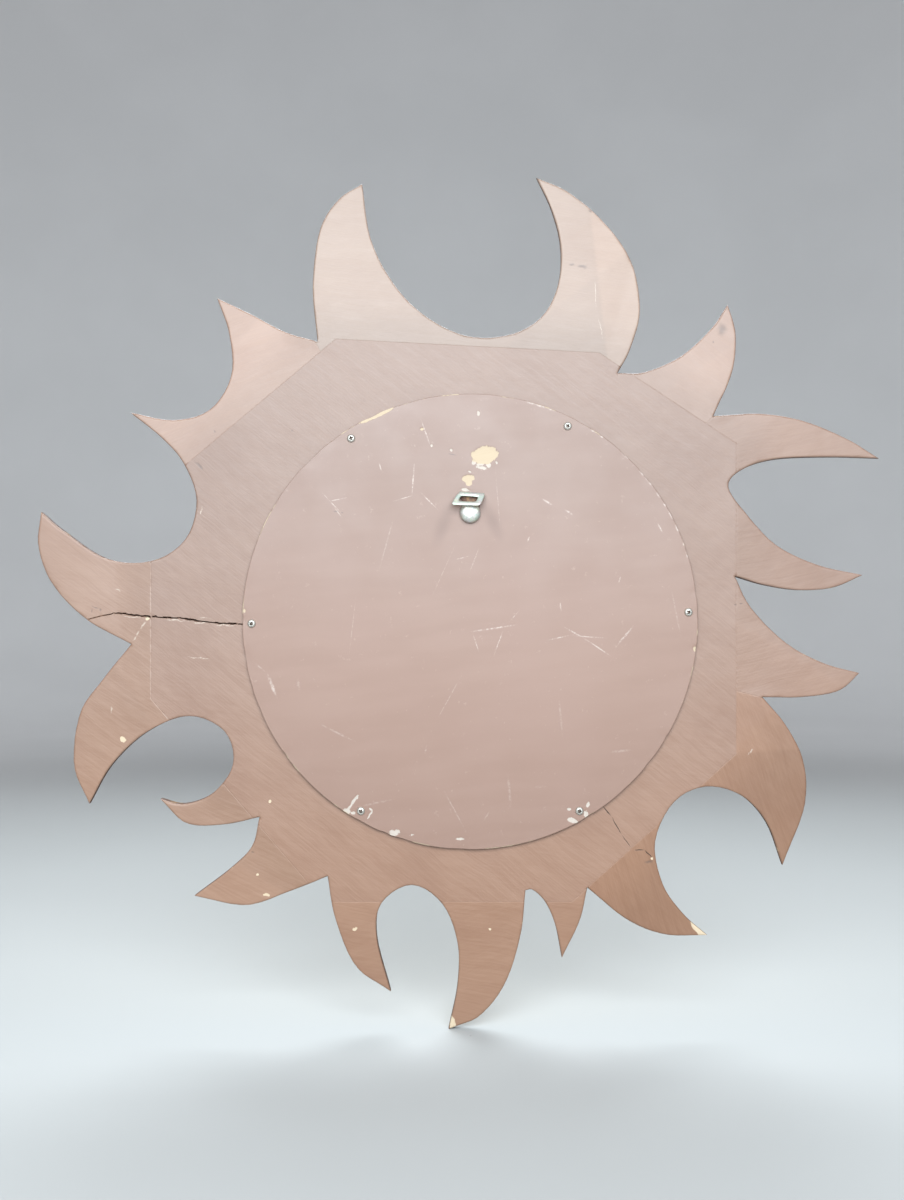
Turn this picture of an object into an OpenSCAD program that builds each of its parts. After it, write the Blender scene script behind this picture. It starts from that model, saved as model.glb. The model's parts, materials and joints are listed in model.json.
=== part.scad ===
// Sunburst wall clock: a carved wooden sun, a turned moulding, a hinged glazed
// bezel, a painted dial and an eight-day movement behind a screwed back panel.
// Front view: +X right, +Z up. Depths are measured from the boards' back face
// towards the front, which is -Y. The hanger's slot is the origin.

/* [Sun] */
// Thickness of the carved boards
board_t = 20; // [16:1:24]
// Radius of the round opening behind the dial
opening_r = 150; // [149:0.5:152]
// Slope of the planed flame backs, in degrees
facet_tilt = 1.5; // [0:0.25:2.5]
// Width of the open glue joint in the right-hand block
crack_w = 1.2; // [0.5:0.1:2]

/* [Moulding and dial] */
// Depth of the turned moulding in front of the boards
moulding_h = 22; // [20:1:24]
// Outer radius of the moulding
moulding_r = 178; // [172:1:184]
// Radius of the visible dial
dial_sight_r = 140; // [138:0.5:142]
// Thickness of the dial plate
dial_t = 1; // [0.8:0.1:1.5]
// Height of the hour numerals
numeral_h = 25; // [18:1:28]

/* [Back] */
// Diameter of the back panel
panel_d = 360; // [356:1:364]
// Thickness of the back panel
panel_t = 3.5; // [3:0.5:5]
// Diameter of the circle of panel screws
panel_screw_circle = 345; // [340:1:348]
// Diameter of a panel screw's head
panel_screw_head = 6.6; // [6:0.2:8]

/* [Hanger] */
// Width of the hanger's tab
tab_w = 25; // [20:1:30]
// Length of the hanger's tab
tab_l = 16; // [14:1:20]
// Downward slope of the tab, in degrees
tab_drop = 40; // [20:5:50]
// Thickness of the hanger strip
strip_t = 1.5; // [1:0.25:2]
// Width of the slot in the tab
slot_w = 13; // [10:1:15]
// Height of the slot in the tab
slot_h = 7; // [5:0.5:8]
// Diameter of the coach bolt's domed head
bolt_head_d = 16.5; // [15:0.5:18]

/* [Bezel] */
// Outer radius of the bezel ring
bezel_r = 152; // [150:0.5:154]
// Rise of the domed glass
glass_rise = 12; // [8:1:16]
// Thickness of the glass
glass_t = 2.5; // [2:0.5:3]

/* [Movement] */
// Radius of the movement's plates
plate_r = 58; // [57:0.5:60]
// Thickness of each plate
plate_t = 2; // [1.5:0.25:2]
// Radial clearance of every pivot and running bore
running_gap = 0.05; // [0.03:0.01:0.08]

/* [Hands] */
// Length of the minute hand from the dial's centre
minute_hand_l = 122; // [110:1:126]
// Length of the hour hand from the dial's centre
hour_hand_l = 86; // [70:1:92]
// Minutes past ten that the hands show
shown_minutes = 10; // [0:1:14]

/* [Hidden] */
$fn = 64;

// ---- outline of the sun ----
// Each row runs from one corner of the outline, a flame's tip or the bottom of
// a cleft, along points [x, z] of a smooth edge. The next row's first point
// ends it.
SUN_EDGES = [
    [[-53, 354], [-79, 342], [-108, 317], [-129, 285], [-135, 247], [-127, 216]],
    [[-117, 197], [-139, 198], [-168, 211], [-192, 233]],
    [[-205, 252], [-211, 229], [-208, 198]],
    [[-193, 163], [-232, 165], [-267, 159], [-301, 145]],
    [[-326, 130], [-285, 131], [-242, 129], [-215, 120], [-205, 107],
     [-218, 87], [-243, 61], [-277, 45]],
    [[-313, 37], [-289, 27], [-261, 25], [-234, 29]],
    [[-210, 36], [-223, 11], [-251, -17], [-281, -33]],
    [[-310, -41], [-293, -55], [-264, -60]],
    [[-232, -60], [-251, -83], [-265, -112], [-266, -148]],
    [[-249, -194], [-236, -160], [-215, -138], [-187, -131], [-162, -143],
     [-147, -174], [-153, -208], [-170, -233]],
    [[-189, -250], [-155, -249], [-125, -237]],
    [[-93, -211], [-87, -237]],
    [[-73, -267], [-68, -242], [-60, -223], [-50, -213]],
    [[-44, -213], [-40, -249], [-28, -287], [-8, -313]],
    [[17, -324], [10, -289], [10, -255], [22, -224], [46, -209], [70, -223],
     [74, -251]],
    [[63, -294], [91, -273], [107, -235]],
    [[113, -202], [143, -214], [178, -225]],
    [[219, -218], [190, -196], [173, -178]],
    [[167, -155], [195, -161], [225, -160]],
    [[246, -141], [227, -145], [204, -136], [188, -113], [195, -87],
     [223, -75], [257, -88], [285, -114]],
    [[303, -145], [315, -114], [310, -73], [291, -45]],
    [[269, -18], [305, 2], [332, 30], [343, 60]],
    [[341, 87], [322, 71], [289, 50], [253, 48], [226, 65], [217, 96],
     [227, 125], [245, 146]],
    [[270, 166], [236, 160], [207, 168], [190, 194], [191, 227]],
    [[201, 257], [174, 244], [147, 230]],
    [[121, 222], [125, 266], [120, 310], [106, 335]],
    [[86, 349], [79, 305], [61, 269], [36, 243], [4, 227], [-29, 227],
     [-56, 241], [-70, 268], [-72, 299], [-65, 328]]
];
EDGE_STEPS = 5;

// Point at t between b and c on a smooth curve through a, b, c and d.
function curve_point(a, b, c, d, t) =
    0.5 * (2 * b + (c - a) * t + (2 * a - 5 * b + 4 * c - d) * t * t
           + (3 * b - a - 3 * c + d) * t * t * t);

// Points of one edge, without its end; the curve's ends are left free.
function edge_points(row, end) =
    let (p = concat(row, [end]), last = len(row))
    [for (i = [0:last - 1], s = [0:EDGE_STEPS - 1])
        let (before = i == 0 ? 2 * p[0] - p[1] : p[i - 1],
             after = i == last - 1 ? 2 * p[last] - p[last - 1] : p[i + 2])
        curve_point(before, p[i], p[i + 1], after, s / EDGE_STEPS)];

SUN_OUTLINE = [
    for (i = [0:len(SUN_EDGES) - 1])
        each edge_points(SUN_EDGES[i], SUN_EDGES[(i + 1) % len(SUN_EDGES)][0])
];

// ---- boards ----
// Each flame block is glued to the core along a straight joint. A row holds the
// angles where the block starts and ends, the direction that its joint faces
// and the joint's distance from the dial's axis.
BLOCKS = [
    [24, 61, 50, 240],
    [61, 120.8, 93, 218],
    [120.8, 139.9, 123.5, 234],
    [139.9, 194.6, 180, 211],
    [194.6, 246.4, 228, 219],
    [246.4, 299.6, 270, 222],
    [299.6, 333, 319.5, 232],
    [-27, 24, 0, 253]
];
FAR = 500;

// Where the joint lines of two neighbouring blocks cross.
function joint_crossing(p, q) =
    let (a = p[2], b = q[2], s = sin(b - a))
    [(p[3] * sin(b) - q[3] * sin(a)) / s, (q[3] * cos(a) - p[3] * cos(b)) / s];

CORE_CORNERS = [
    for (i = [0:len(BLOCKS) - 1])
        joint_crossing(BLOCKS[i], BLOCKS[(i + 1) % len(BLOCKS)])
];

// ---- depths from the boards' back face towards the front ----
moulding_front = board_t + moulding_h;
lip_t = 6;
dial_front = moulding_front - lip_t;
dial_back = dial_front - dial_t;
back_plate_d = 6;
back_plate_in = back_plate_d + plate_t;
front_plate_in = 26;
front_plate_d = front_plate_in + plate_t;
numeral_t = 0.6;
hour_hand_d = 39.6;
minute_hand_d = 42.6;
hand_t = 0.8;

// The panel's screws are spaced by eye, a degree or two off even sixths.
PANEL_SCREW_ANGLES = [-0.5, 57, 116.5, 177.5, 240, 300];

// ---- hanger ----
bolt_z = 86;
fold_z = 102;
slot_along = 8;
slot_y = panel_t + strip_t / 2 + slot_along * cos(tab_drop);
slot_z = fold_z - slot_along * sin(tab_drop);
bolt_r = 3;
bolt_hole_r = 3.2;
bolt_head_h = 4;
bolt_tip = 9;
washer_r = 9;
washer_t = 1.6;
nut_r = 5.77;
nut_t = 5;

// ---- wood screws ----
panel_screw_r = 1.5;
panel_screw_tip = 13.5;
dial_screw_r = 1.2;
dial_screw_ring_r = 145;
small_screw_r = 0.8;
small_screw_head_r = 1.8;
small_screw_tip = moulding_front - 6;
screw_clearance = 0.1;

// ---- bezel and hinge ----
bezel_back = moulding_front + 1.5;
bezel_front = moulding_front + 8;
bezel_in_r = 138;
glass_edge_r = 145;
glass_seat_d = bezel_back + 2.5;
hinge_x = -157.5;
hinge_d = moulding_front + 3.2;
knuckle_r = 2.4;
leaf_t = 1.2;
CATCH_SCREW = [bezel_r + 5.5, 0];
leaf_l = 13;
pin_r = 1.2;
knuckle_h = 9;
knuckle_gap = 0.4;
retainer_t = 1.2;

// ---- train ----
great_m = 0.75;
centre_m = 0.6;
third_m = 0.5;
fourth_m = 0.45;
dial_m = 0.7;
great_z = 60;
great_leaves = 10;
centre_z = 64;
third_leaves = 8;
third_z = 60;
fourth_leaves = 8;
fourth_z = 60;
escape_leaves = 6;
escape_z = 15;
cannon_z = 10;
minute_z = 30;
minute_leaves = 8;
hour_z = 32;
ratchet_z = 24;

function centres(m, a, b) = m * (a + b) / 2;
function along(p, angle, r) = p + r * [cos(angle), sin(angle)];

// Directions from each arbor to the next one
third_dir = 150;
fourth_dir = 60;
escape_dir = 10;
minute_dir = 200;
CENTRE = [0, 0];
INTERMEDIATE = along(CENTRE, -90, centres(great_m, great_z, great_leaves));
BARREL = along(INTERMEDIATE, 0, centres(great_m, great_z, great_leaves));
THIRD = along(CENTRE, third_dir, centres(centre_m, centre_z, third_leaves));
FOURTH = along(THIRD, fourth_dir, centres(third_m, third_z, fourth_leaves));
ESCAPE = along(FOURTH, escape_dir, centres(fourth_m, fourth_z, escape_leaves));
MINUTE = along(CENTRE, minute_dir, centres(dial_m, cannon_z, minute_z));
escape_r = 8;
LEVER = along(ESCAPE, 0, escape_r / cos(30));
BALANCE = along(LEVER, 0, 13);
click_dir = 100;
CLICK = along(BARREL, click_dir, 15);

arbor_r = 1;
pivot_r = 0.5;
centre_arbor_r = 1.5;
barrel_arbor_r = 2;
cannon_r = 2.2;
hour_pipe_r = 3;
end_shake = 0.1;

PILLAR_ANGLES = [0, 100, 180, 250];
FOOT_ANGLES = [20, 112, 200, 290];
pillar_ring_r = 52;
movement_screw_r = 1.5;

// Each layer's [back, front] depth
INTERMEDIATE_WHEEL_D = [8.8, 9.8];
CENTRE_PINION_D = [8.4, 10.2];
INTERMEDIATE_PINION_D = [11, 13.6];
GREAT_WHEEL_D = [11.5, 13];
ESCAPE_WHEEL_D = [12, 12.8];
ROLLER_D = [13.6, 14.2];
MAINSPRING_D = [14.8, 21.2];
ESCAPE_PINION_D = [15.6, 17.2];
FOURTH_WHEEL_D = [16, 16.8];
BALANCE_D = [18, 19.4];
FOURTH_PINION_D = [19.6, 21.3];
THIRD_WHEEL_D = [20, 20.9];
HAIRSPRING_D = [21.5, 22.2];
THIRD_PINION_D = [23.8, 25.6];
CENTRE_WHEEL_D = [24.2, 25.2];
CANNON_PINION_D = [28.5, 30.1];
MINUTE_WHEEL_D = [28.8, 29.8];
MINUTE_PINION_D = [29.7, 32.4];
HOUR_WHEEL_D = [31, 32];

// Teeth: [root half width, tip half width] in pitches and [below, above] the
// pitch circle in modules
WHEEL_FLANK = [0.27, 0.10];
WHEEL_REACH = [1.25, 0.9];
PINION_FLANK = [0.20, 0.08];
PINION_REACH = [1.3, 0.7];

// A pinion's turn that puts its leaves in mesh with a wheel whose tooth is at 0.
function mesh_turn(dir, wheel_z, pinion_z) =
    dir + 180 - 360 / pinion_z * (0.5 - dir * wheel_z / 360);

// Straight-flanked teeth.
function tooth_points(z, m, turn, flank, reach) =
    [for (i = [0:z - 1], k = [0:3])
        let (tip = k == 1 || k == 2,
             r = m * (z / 2 + (tip ? reach[1] : -reach[0])),
             half = (tip ? flank[1] : flank[0]) * (k < 2 ? -1 : 1),
             a = turn + (i + half) * 360 / z)
        [r * cos(a), r * sin(a)]];

// Saw teeth: each rises along a slope and drops along a radius.
function saw_points(z, low, high) =
    [for (i = [0:z - 1], k = [0:1])
        let (a = -(i + (k == 0 ? 0.04 : 0)) * 360 / z, r = k == 0 ? low : high)
        [r * cos(a), r * sin(a)]];

// ---- placing ----
module in_frame() {
    translate([0, -slot_y, -slot_z]) children();
}

module at(p) {
    translate([p[0], 0, p[1]]) children();
}

// A flat shape drawn in the front view, between two depths.
module slab(d0, d1) {
    rotate([90, 0, 0]) translate([0, 0, d0]) linear_extrude(d1 - d0) children();
}

module round_bar(r, d0, d1) {
    rotate([90, 0, 0]) translate([0, 0, d0]) cylinder(h = d1 - d0, r = r);
}

// A ring or disc turned about the Y axis from [radius, depth] points.
module turned(profile) {
    rotate([90, 0, 0]) rotate_extrude($fn = 128) polygon(profile);
}

// A domed head standing towards the back from depth d.
module back_dome(r, h, d) {
    ball = (r * r + h * h) / (2 * h);
    intersection() {
        round_bar(r, d - h - 1, d);
        translate([0, -(d - h + ball), 0]) sphere(r = ball);
    }
}

module cheese_screw(head_r, head_h, shank_r, head_d, tip_d) {
    away = tip_d > head_d ? 1 : -1;
    difference() {
        union() {
            round_bar(head_r, min(head_d, head_d - away * head_h),
                      max(head_d, head_d - away * head_h));
            round_bar(shank_r, min(head_d - away * 0.5, tip_d),
                      max(head_d - away * 0.5, tip_d));
        }
        slot_mid = head_d - away * head_h;
        translate([-head_r - 1, -slot_mid - 0.5, -0.3])
            cube([2 * head_r + 2, 1, 0.6]);
    }
}

// ---- wheels ----
module crossings(hub_r, rim_r, spokes, spoke_w) {
    difference() {
        circle(rim_r);
        circle(hub_r);
        for (i = [0:spokes - 1])
            rotate(i * 360 / spokes)
                translate([0, -spoke_w / 2]) square([rim_r + 1, spoke_w]);
    }
}

module wheel(z, m, layer, bore_r, hub_r, spokes, spoke_w) {
    rim_w = 1.6;
    root_r = m * (z / 2 - WHEEL_REACH[0]);
    slab(layer[0], layer[1]) difference() {
        polygon(tooth_points(z, m, 0, WHEEL_FLANK, WHEEL_REACH));
        circle(bore_r);
        crossings(hub_r, root_r - rim_w, spokes, spoke_w);
    }
}

module pinion(z, m, turn, layer, bore_r) {
    slab(layer[0], layer[1]) difference() {
        polygon(tooth_points(z, m, turn, PINION_FLANK, PINION_REACH));
        if (bore_r > 0) circle(bore_r);
    }
}

// A flat spiral strip of even pitch.
module spiral_band(inner, pitch, band, turns) {
    steps = 16;
    function coil(i, shift) =
        let (a = i * 360 / steps, r = inner + pitch * i / steps + shift)
        [r * cos(a), r * sin(a)];
    polygon(concat(
        [for (i = [0:turns * steps]) coil(i, 0)],
        [for (i = [turns * steps:-1:0]) coil(i, band)]
    ));
}

// An arbor between the plates with a pivot at each end.
module plain_arbor(r = arbor_r) {
    round_bar(r, back_plate_in + end_shake, front_plate_in - end_shake);
    round_bar(pivot_r, back_plate_d, front_plate_d);
}

// ---- sun ----
module board_plan() {
    polygon(SUN_OUTLINE);
}

module sun_core() {
    color([0.55, 0.42, 0.38]) in_frame() difference() {
        slab(0, board_t) difference() {
            intersection() {
                board_plan();
                polygon(CORE_CORNERS);
            }
            circle(opening_r);
        }
        panel_screw_sites() round_bar(panel_screw_r, -1, panel_screw_tip + 0.5);
        crack_slot();
    }
}

// The open glue joint, sawn into the back of the boards from the panel's edge
// outwards along a line that climbs slightly.
module crack_slot() {
    crack_depth = 9;
    crack_l = 118;
    crack_climb = 4;
    translate([panel_d / 2, 0, -2]) rotate([0, -crack_climb, 0])
        translate([-8, -crack_depth, -crack_w / 2])
            cube([crack_l + 8, crack_depth + 1, crack_w]);
}

module block(row) {
    in_frame() difference() {
        slab(0, board_t) difference() {
            intersection() {
                board_plan();
                polygon([[0, 0], FAR * [cos(row[0]), sin(row[0])],
                         FAR * 1.2 * [cos((row[0] + row[1]) / 2), sin((row[0] + row[1]) / 2)],
                         FAR * [cos(row[1]), sin(row[1])]]);
            }
            polygon(CORE_CORNERS);
        }
        rotate([0, -row[2], 0]) translate([row[3], 0, 0])
            rotate([0, 0, -facet_tilt]) translate([-5, 0, -FAR / 2])
                cube([FAR, 40, FAR]);
    }
}

module ray_block_upper_right() {
    color([0.57, 0.43, 0.39]) block(BLOCKS[0]);
}

module ray_block_top() {
    color([0.59, 0.46, 0.42]) block(BLOCKS[1]);
}

module ray_block_upper_left() {
    color([0.56, 0.43, 0.38]) block(BLOCKS[2]);
}

module ray_block_left() {
    color([0.53, 0.41, 0.37]) block(BLOCKS[3]);
}

module ray_block_lower_left() {
    color([0.50, 0.38, 0.34]) block(BLOCKS[4]);
}

module ray_block_bottom() {
    color([0.48, 0.36, 0.32]) block(BLOCKS[5]);
}

module ray_block_lower_right() {
    color([0.50, 0.38, 0.34]) block(BLOCKS[6]);
}

module ray_block_right() {
    color([0.53, 0.41, 0.37]) difference() {
        block(BLOCKS[7]);
        in_frame() crack_slot();
    }
}

module front_moulding() {
    color([0.80, 0.65, 0.35]) in_frame() difference() {
        turned([
            [opening_r, board_t], [moulding_r, board_t],
            [moulding_r, board_t + 5], [moulding_r - 2, board_t + 7],
            [moulding_r - 5, board_t + 8], [moulding_r - 6, board_t + 12],
            [moulding_r - 5, board_t + 16], [moulding_r - 5, moulding_front - 2],
            [moulding_r - 7, moulding_front],
            [dial_sight_r + 3, moulding_front], [dial_sight_r, moulding_front - 3],
            [dial_sight_r, dial_front], [opening_r, dial_front]
        ]);
        dial_screw_sites() round_bar(dial_screw_r, dial_front - 1, dial_front + 4);
        hinge_screw_sites() round_bar(small_screw_r, small_screw_tip - 1, moulding_front + 1);
        at(CATCH_SCREW) round_bar(small_screw_r, small_screw_tip - 1, moulding_front + 1);
    }
}

// ---- back ----
module panel_screw_sites() {
    for (a = PANEL_SCREW_ANGLES)
        rotate([0, -a, 0]) translate([panel_screw_circle / 2, 0, 0]) children();
}

module back_panel() {
    color([0.60, 0.48, 0.44]) in_frame() difference() {
        round_bar(panel_d / 2, -panel_t, 0, $fn = 128);
        panel_screw_sites()
            round_bar(panel_screw_r + screw_clearance, -panel_t - 1, 1);
        at([0, bolt_z]) round_bar(bolt_hole_r, -panel_t - 1, 1);
    }
}

module back_panel_screws() {
    color([0.62, 0.58, 0.52]) in_frame() panel_screw_sites() difference() {
        union() {
            back_dome(panel_screw_head / 2, 2, -panel_t);
            round_bar(panel_screw_r, -panel_t - 0.2, panel_screw_tip);
        }
        for (turn = [20, 110])
            rotate([0, turn, 0]) translate([-1.7, panel_t + 1, -0.35])
                cube([3.4, 2, 0.7]);
    }
}

module hanger_strip() {
    leg_w = 14;
    leg_bottom = 77;
    color([0.80, 0.82, 0.80]) in_frame() {
        difference() {
            union() {
                translate([-leg_w / 2, panel_t, leg_bottom])
                    cube([leg_w, strip_t, fold_z - leg_bottom - 3]);
                translate([-tab_w / 2 + 1, panel_t, fold_z - 4])
                    cube([tab_w - 2, strip_t, 4]);
                translate([0, panel_t + strip_t / 2, fold_z])
                    rotate([0, 90, 0])
                        cylinder(h = tab_w - 2, r = strip_t / 2, center = true);
                hanger_tab();
            }
            at([0, bolt_z]) round_bar(bolt_hole_r, -panel_t - strip_t - 1, 1);
        }
    }
}

// The slotted tab, bent outwards and down, with clipped free corners.
module hanger_tab() {
    clip = 3;
    translate([0, panel_t + strip_t / 2, fold_z])
        rotate([-tab_drop, 0, 0])
            translate([0, 0, -strip_t / 2]) linear_extrude(strip_t)
                difference() {
                    polygon([[-tab_w / 2 + 1, 0], [tab_w / 2 - 1, 0],
                             [tab_w / 2, clip], [tab_w / 2, tab_l - clip],
                             [tab_w / 2 - clip, tab_l], [-tab_w / 2 + clip, tab_l],
                             [-tab_w / 2, tab_l - clip], [-tab_w / 2, clip]]);
                    translate([-slot_w / 2, slot_along - slot_h / 2])
                        square([slot_w, slot_h]);
                }
}

module hanger_bolt() {
    color([0.80, 0.82, 0.80]) in_frame() at([0, bolt_z]) {
        back_dome(bolt_head_d / 2, bolt_head_h, -panel_t - strip_t);
        round_bar(bolt_r, -panel_t - strip_t - 0.2, bolt_tip);
    }
}

module hanger_washer() {
    color([0.70, 0.72, 0.70]) in_frame() at([0, bolt_z]) difference() {
        round_bar(washer_r, 0, washer_t);
        round_bar(bolt_hole_r, -1, washer_t + 1);
    }
}

module hanger_nut() {
    color([0.75, 0.77, 0.75]) in_frame() at([0, bolt_z]) difference() {
        slab(washer_t, washer_t + nut_t) circle(nut_r, $fn = 6);
        round_bar(bolt_r, 0, washer_t + nut_t + 1);
    }
}

// ---- dial ----
dial_plate_r = 148;
winding_hole_r = 5;
winding_square = 2.6;

module dial_screw_sites() {
    for (a = [45, 135, 225, 315])
        at(along(CENTRE, a, dial_screw_ring_r)) children();
}

module dial_plate() {
    color([0.93, 0.90, 0.80]) in_frame() difference() {
        round_bar(dial_plate_r, dial_back, dial_front, $fn = 128);
        round_bar(hour_pipe_r + 1.5, dial_back - 1, dial_front + 1);
        at(BARREL) round_bar(winding_hole_r, dial_back - 1, dial_front + 1);
        dial_screw_sites() round_bar(dial_screw_r + 0.4, dial_back - 1, dial_front + 1);
    }
}

module dial_screws() {
    color([0.72, 0.60, 0.35]) in_frame() dial_screw_sites()
        cheese_screw(2.8, 1.6, dial_screw_r, dial_back, dial_front + 3.5);
}

module winding_grommet() {
    color([0.78, 0.62, 0.30]) in_frame() at(BARREL) difference() {
        union() {
            round_bar(winding_hole_r + 1.5, dial_front, dial_front + 0.6);
            round_bar(winding_hole_r, dial_back, dial_front + 0.1);
        }
        round_bar(winding_hole_r - 1, dial_back - 1, dial_front + 2);
    }
}

module dial_feet() {
    color([0.72, 0.60, 0.35]) in_frame() for (a = FOOT_ANGLES)
        at(along(CENTRE, a, pillar_ring_r))
            round_bar(2.5, front_plate_d, dial_back);
}

// Roman numerals are rows of upright, leaning and crossed strokes.
NUMERALS = ["I", "II", "III", "IIII", "V", "VI", "VII", "VIII", "IX", "X", "XI", "XII"];
thick_w = 3.2;
thin_w = 1.2;
function glyph_w(c) = c == "I" ? 5.4 : 12.5;
function glyph_x(word, i) = i == 0 ? 0 : glyph_x(word, i - 1) + glyph_w(word[i - 1]);

module leaning_stroke(x0, x1, w) {
    polygon([[x0 - w / 2, 0], [x0 + w / 2, 0], [x1 + w / 2, numeral_h],
             [x1 - w / 2, numeral_h]]);
}

module glyph(c) {
    w = glyph_w(c);
    if (c == "I") leaning_stroke(w / 2, w / 2, thick_w);
    if (c == "V") {
        leaning_stroke(w / 2, 2.4, thick_w);
        leaning_stroke(w / 2, w - 1.6, thin_w);
    }
    if (c == "X") {
        leaning_stroke(w - 2.4, 2.4, thick_w);
        leaning_stroke(1.6, w - 1.6, thin_w);
    }
    for (z = [0, numeral_h - thin_w])
        translate([0.2, z]) square([w - 0.4, thin_w]);
}

module hour_numerals() {
    numeral_foot_r = 97;
    color([0.12, 0.10, 0.09]) in_frame() slab(dial_front, dial_front + numeral_t)
        for (hour = [1:12]) {
            word = NUMERALS[hour - 1];
            whole = glyph_x(word, len(word) - 1) + glyph_w(word[len(word) - 1]);
            rotate(-30 * hour) translate([-whole / 2, numeral_foot_r])
                for (i = [0:len(word) - 1])
                    translate([glyph_x(word, i), 0]) glyph(word[i]);
        }
}

module minute_track() {
    outer_r = 135;
    inner_r = 128;
    line_w = 0.8;
    color([0.12, 0.10, 0.09]) in_frame() slab(dial_front, dial_front + 0.4) {
        for (r = [inner_r, outer_r])
            difference() {
                circle(r, $fn = 128);
                circle(r - line_w, $fn = 128);
            }
        for (i = [0:59])
            rotate(6 * i) translate([inner_r - 0.4, -(i % 5 == 0 ? 1.2 : 0.4)])
                square([outer_r - inner_r, i % 5 == 0 ? 2.4 : 0.8]);
    }
}

// ---- bezel and hinge ----
module hinge_frame() {
    translate([hinge_x, -hinge_d, 0]) children();
}

module knuckle(z0) {
    translate([0, 0, z0]) difference() {
        cylinder(h = knuckle_h - knuckle_gap, r = knuckle_r);
        translate([0, 0, -1]) cylinder(h = knuckle_h + 1, r = pin_r + running_gap);
    }
}

module case_hinge_leaf() {
    low = -1.5 * knuckle_h + knuckle_gap / 2;
    high = 0.5 * knuckle_h + knuckle_gap / 2;
    color([0.75, 0.60, 0.30]) in_frame() difference() {
        union() {
            hinge_frame() for (z0 = [low, high])
                knuckle(z0);
            for (z0 = [low, high])
                translate([hinge_x - leaf_l, -moulding_front - leaf_t, z0])
                    cube([leaf_l, leaf_t, knuckle_h - knuckle_gap]);
            translate([hinge_x - leaf_l, -moulding_front - leaf_t, low])
                cube([leaf_l - 3.5, leaf_t, 3 * knuckle_h - knuckle_gap]);
        }
        hinge_frame() translate([0, 0, -20]) cylinder(h = 40, r = pin_r + running_gap);
        hinge_screw_sites()
            round_bar(small_screw_r + screw_clearance, moulding_front - 1, moulding_front + 2);
    }
}

module hinge_screw_sites() {
    for (z = [-9, 9])
        at([hinge_x - 8, z]) children();
}

// The small brass screw that holds a leaf or the catch to the moulding.
module leaf_screw() {
    cheese_screw(small_screw_head_r, 1, small_screw_r, moulding_front + leaf_t,
                 small_screw_tip);
}

module hinge_screws() {
    color([0.72, 0.60, 0.35]) in_frame() hinge_screw_sites() leaf_screw();
}

module hinge_pin() {
    color([0.68, 0.54, 0.28]) in_frame() hinge_frame() {
        translate([0, 0, -1.5 * knuckle_h - 0.8]) cylinder(h = 3 * knuckle_h + 1.6, r = pin_r);
        for (z0 = [-1.5 * knuckle_h - 1.8, 1.5 * knuckle_h + 0.2])
            translate([0, 0, z0]) cylinder(h = 1.6, r = 2);
    }
}

module bezel_hinge_leaf() {
    low = -0.5 * knuckle_h + knuckle_gap / 2;
    color([0.78, 0.62, 0.30]) in_frame() difference() {
        union() {
            hinge_frame() knuckle(low);
            translate([hinge_x, -hinge_d, low])
                cube([5, hinge_d - bezel_back + leaf_t, knuckle_h - knuckle_gap]);
            translate([hinge_x + 3.6, -bezel_back, low])
                cube([leaf_l, leaf_t, knuckle_h - knuckle_gap]);
        }
        hinge_frame() translate([0, 0, -20]) cylinder(h = 40, r = pin_r + running_gap);
    }
}

module bezel_ring() {
    color([0.80, 0.64, 0.32]) in_frame() turned([
        [bezel_in_r, bezel_back - 1.2], [bezel_in_r + 1.6, bezel_back - 1.2],
        [bezel_in_r + 1.6, bezel_back], [bezel_r - 1, bezel_back],
        [bezel_r, bezel_back + 1], [bezel_r - 1, bezel_back + 3.2],
        [bezel_r - 4, bezel_back + 5.2], [bezel_r - 7, bezel_front],
        [bezel_in_r + 1, bezel_front], [bezel_in_r, bezel_front - 1],
        [bezel_in_r, glass_seat_d + glass_t + 0.1],
        [glass_edge_r, glass_seat_d + glass_t + 0.1],
        [glass_edge_r, glass_seat_d - retainer_t], [bezel_in_r, glass_seat_d - retainer_t]
    ]);
}

// A shallow dome of glass, ground flat at its edge.
module bezel_glass() {
    sight_r = bezel_in_r - 0.5;
    ball = (sight_r * sight_r + glass_rise * glass_rise) / (2 * glass_rise);
    steps = 12;
    function cap(i, shift) =
        let (r = sight_r * i / steps)
        [r, glass_seat_d + shift + glass_rise - ball + sqrt(ball * ball - r * r)];
    color([0.75, 0.85, 0.85, 0.35]) in_frame() turned(concat(
        [for (i = [0:steps]) cap(i, glass_t)],
        [[glass_edge_r - 0.2, glass_seat_d + glass_t], [glass_edge_r - 0.2, glass_seat_d]],
        [for (i = [steps:-1:0]) cap(i, 0)]
    ));
}

module glass_retainer() {
    color([0.70, 0.56, 0.28]) in_frame() difference() {
        round_bar(glass_edge_r, glass_seat_d - retainer_t, glass_seat_d, $fn = 128);
        round_bar(bezel_in_r + 0.5, glass_seat_d - 2, glass_seat_d + 1, $fn = 128);
    }
}

module bezel_knob() {
    knob_x = 141.6;
    color([0.80, 0.64, 0.32]) in_frame() at([knob_x, 0]) turned([
        [0, bezel_front], [1.8, bezel_front], [1.5, bezel_front + 1.5],
        [3, bezel_front + 2.5], [3.2, bezel_front + 4], [2.2, bezel_front + 5.4],
        [0, bezel_front + 5.8]
    ]);
}

module bezel_catch() {
    catch_w = 8;
    catch_h = 5;
    color([0.75, 0.60, 0.30]) in_frame() difference() {
        union() {
            translate([bezel_r + 0.5, -moulding_front - catch_h, -catch_w / 2])
                cube([leaf_t, catch_h, catch_w]);
            translate([bezel_r + 0.5, -moulding_front - leaf_t, -catch_w / 2])
                cube([catch_w, leaf_t, catch_w]);
        }
        at(CATCH_SCREW)
            round_bar(small_screw_r + screw_clearance, moulding_front - 1, moulding_front + 2);
    }
}

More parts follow.
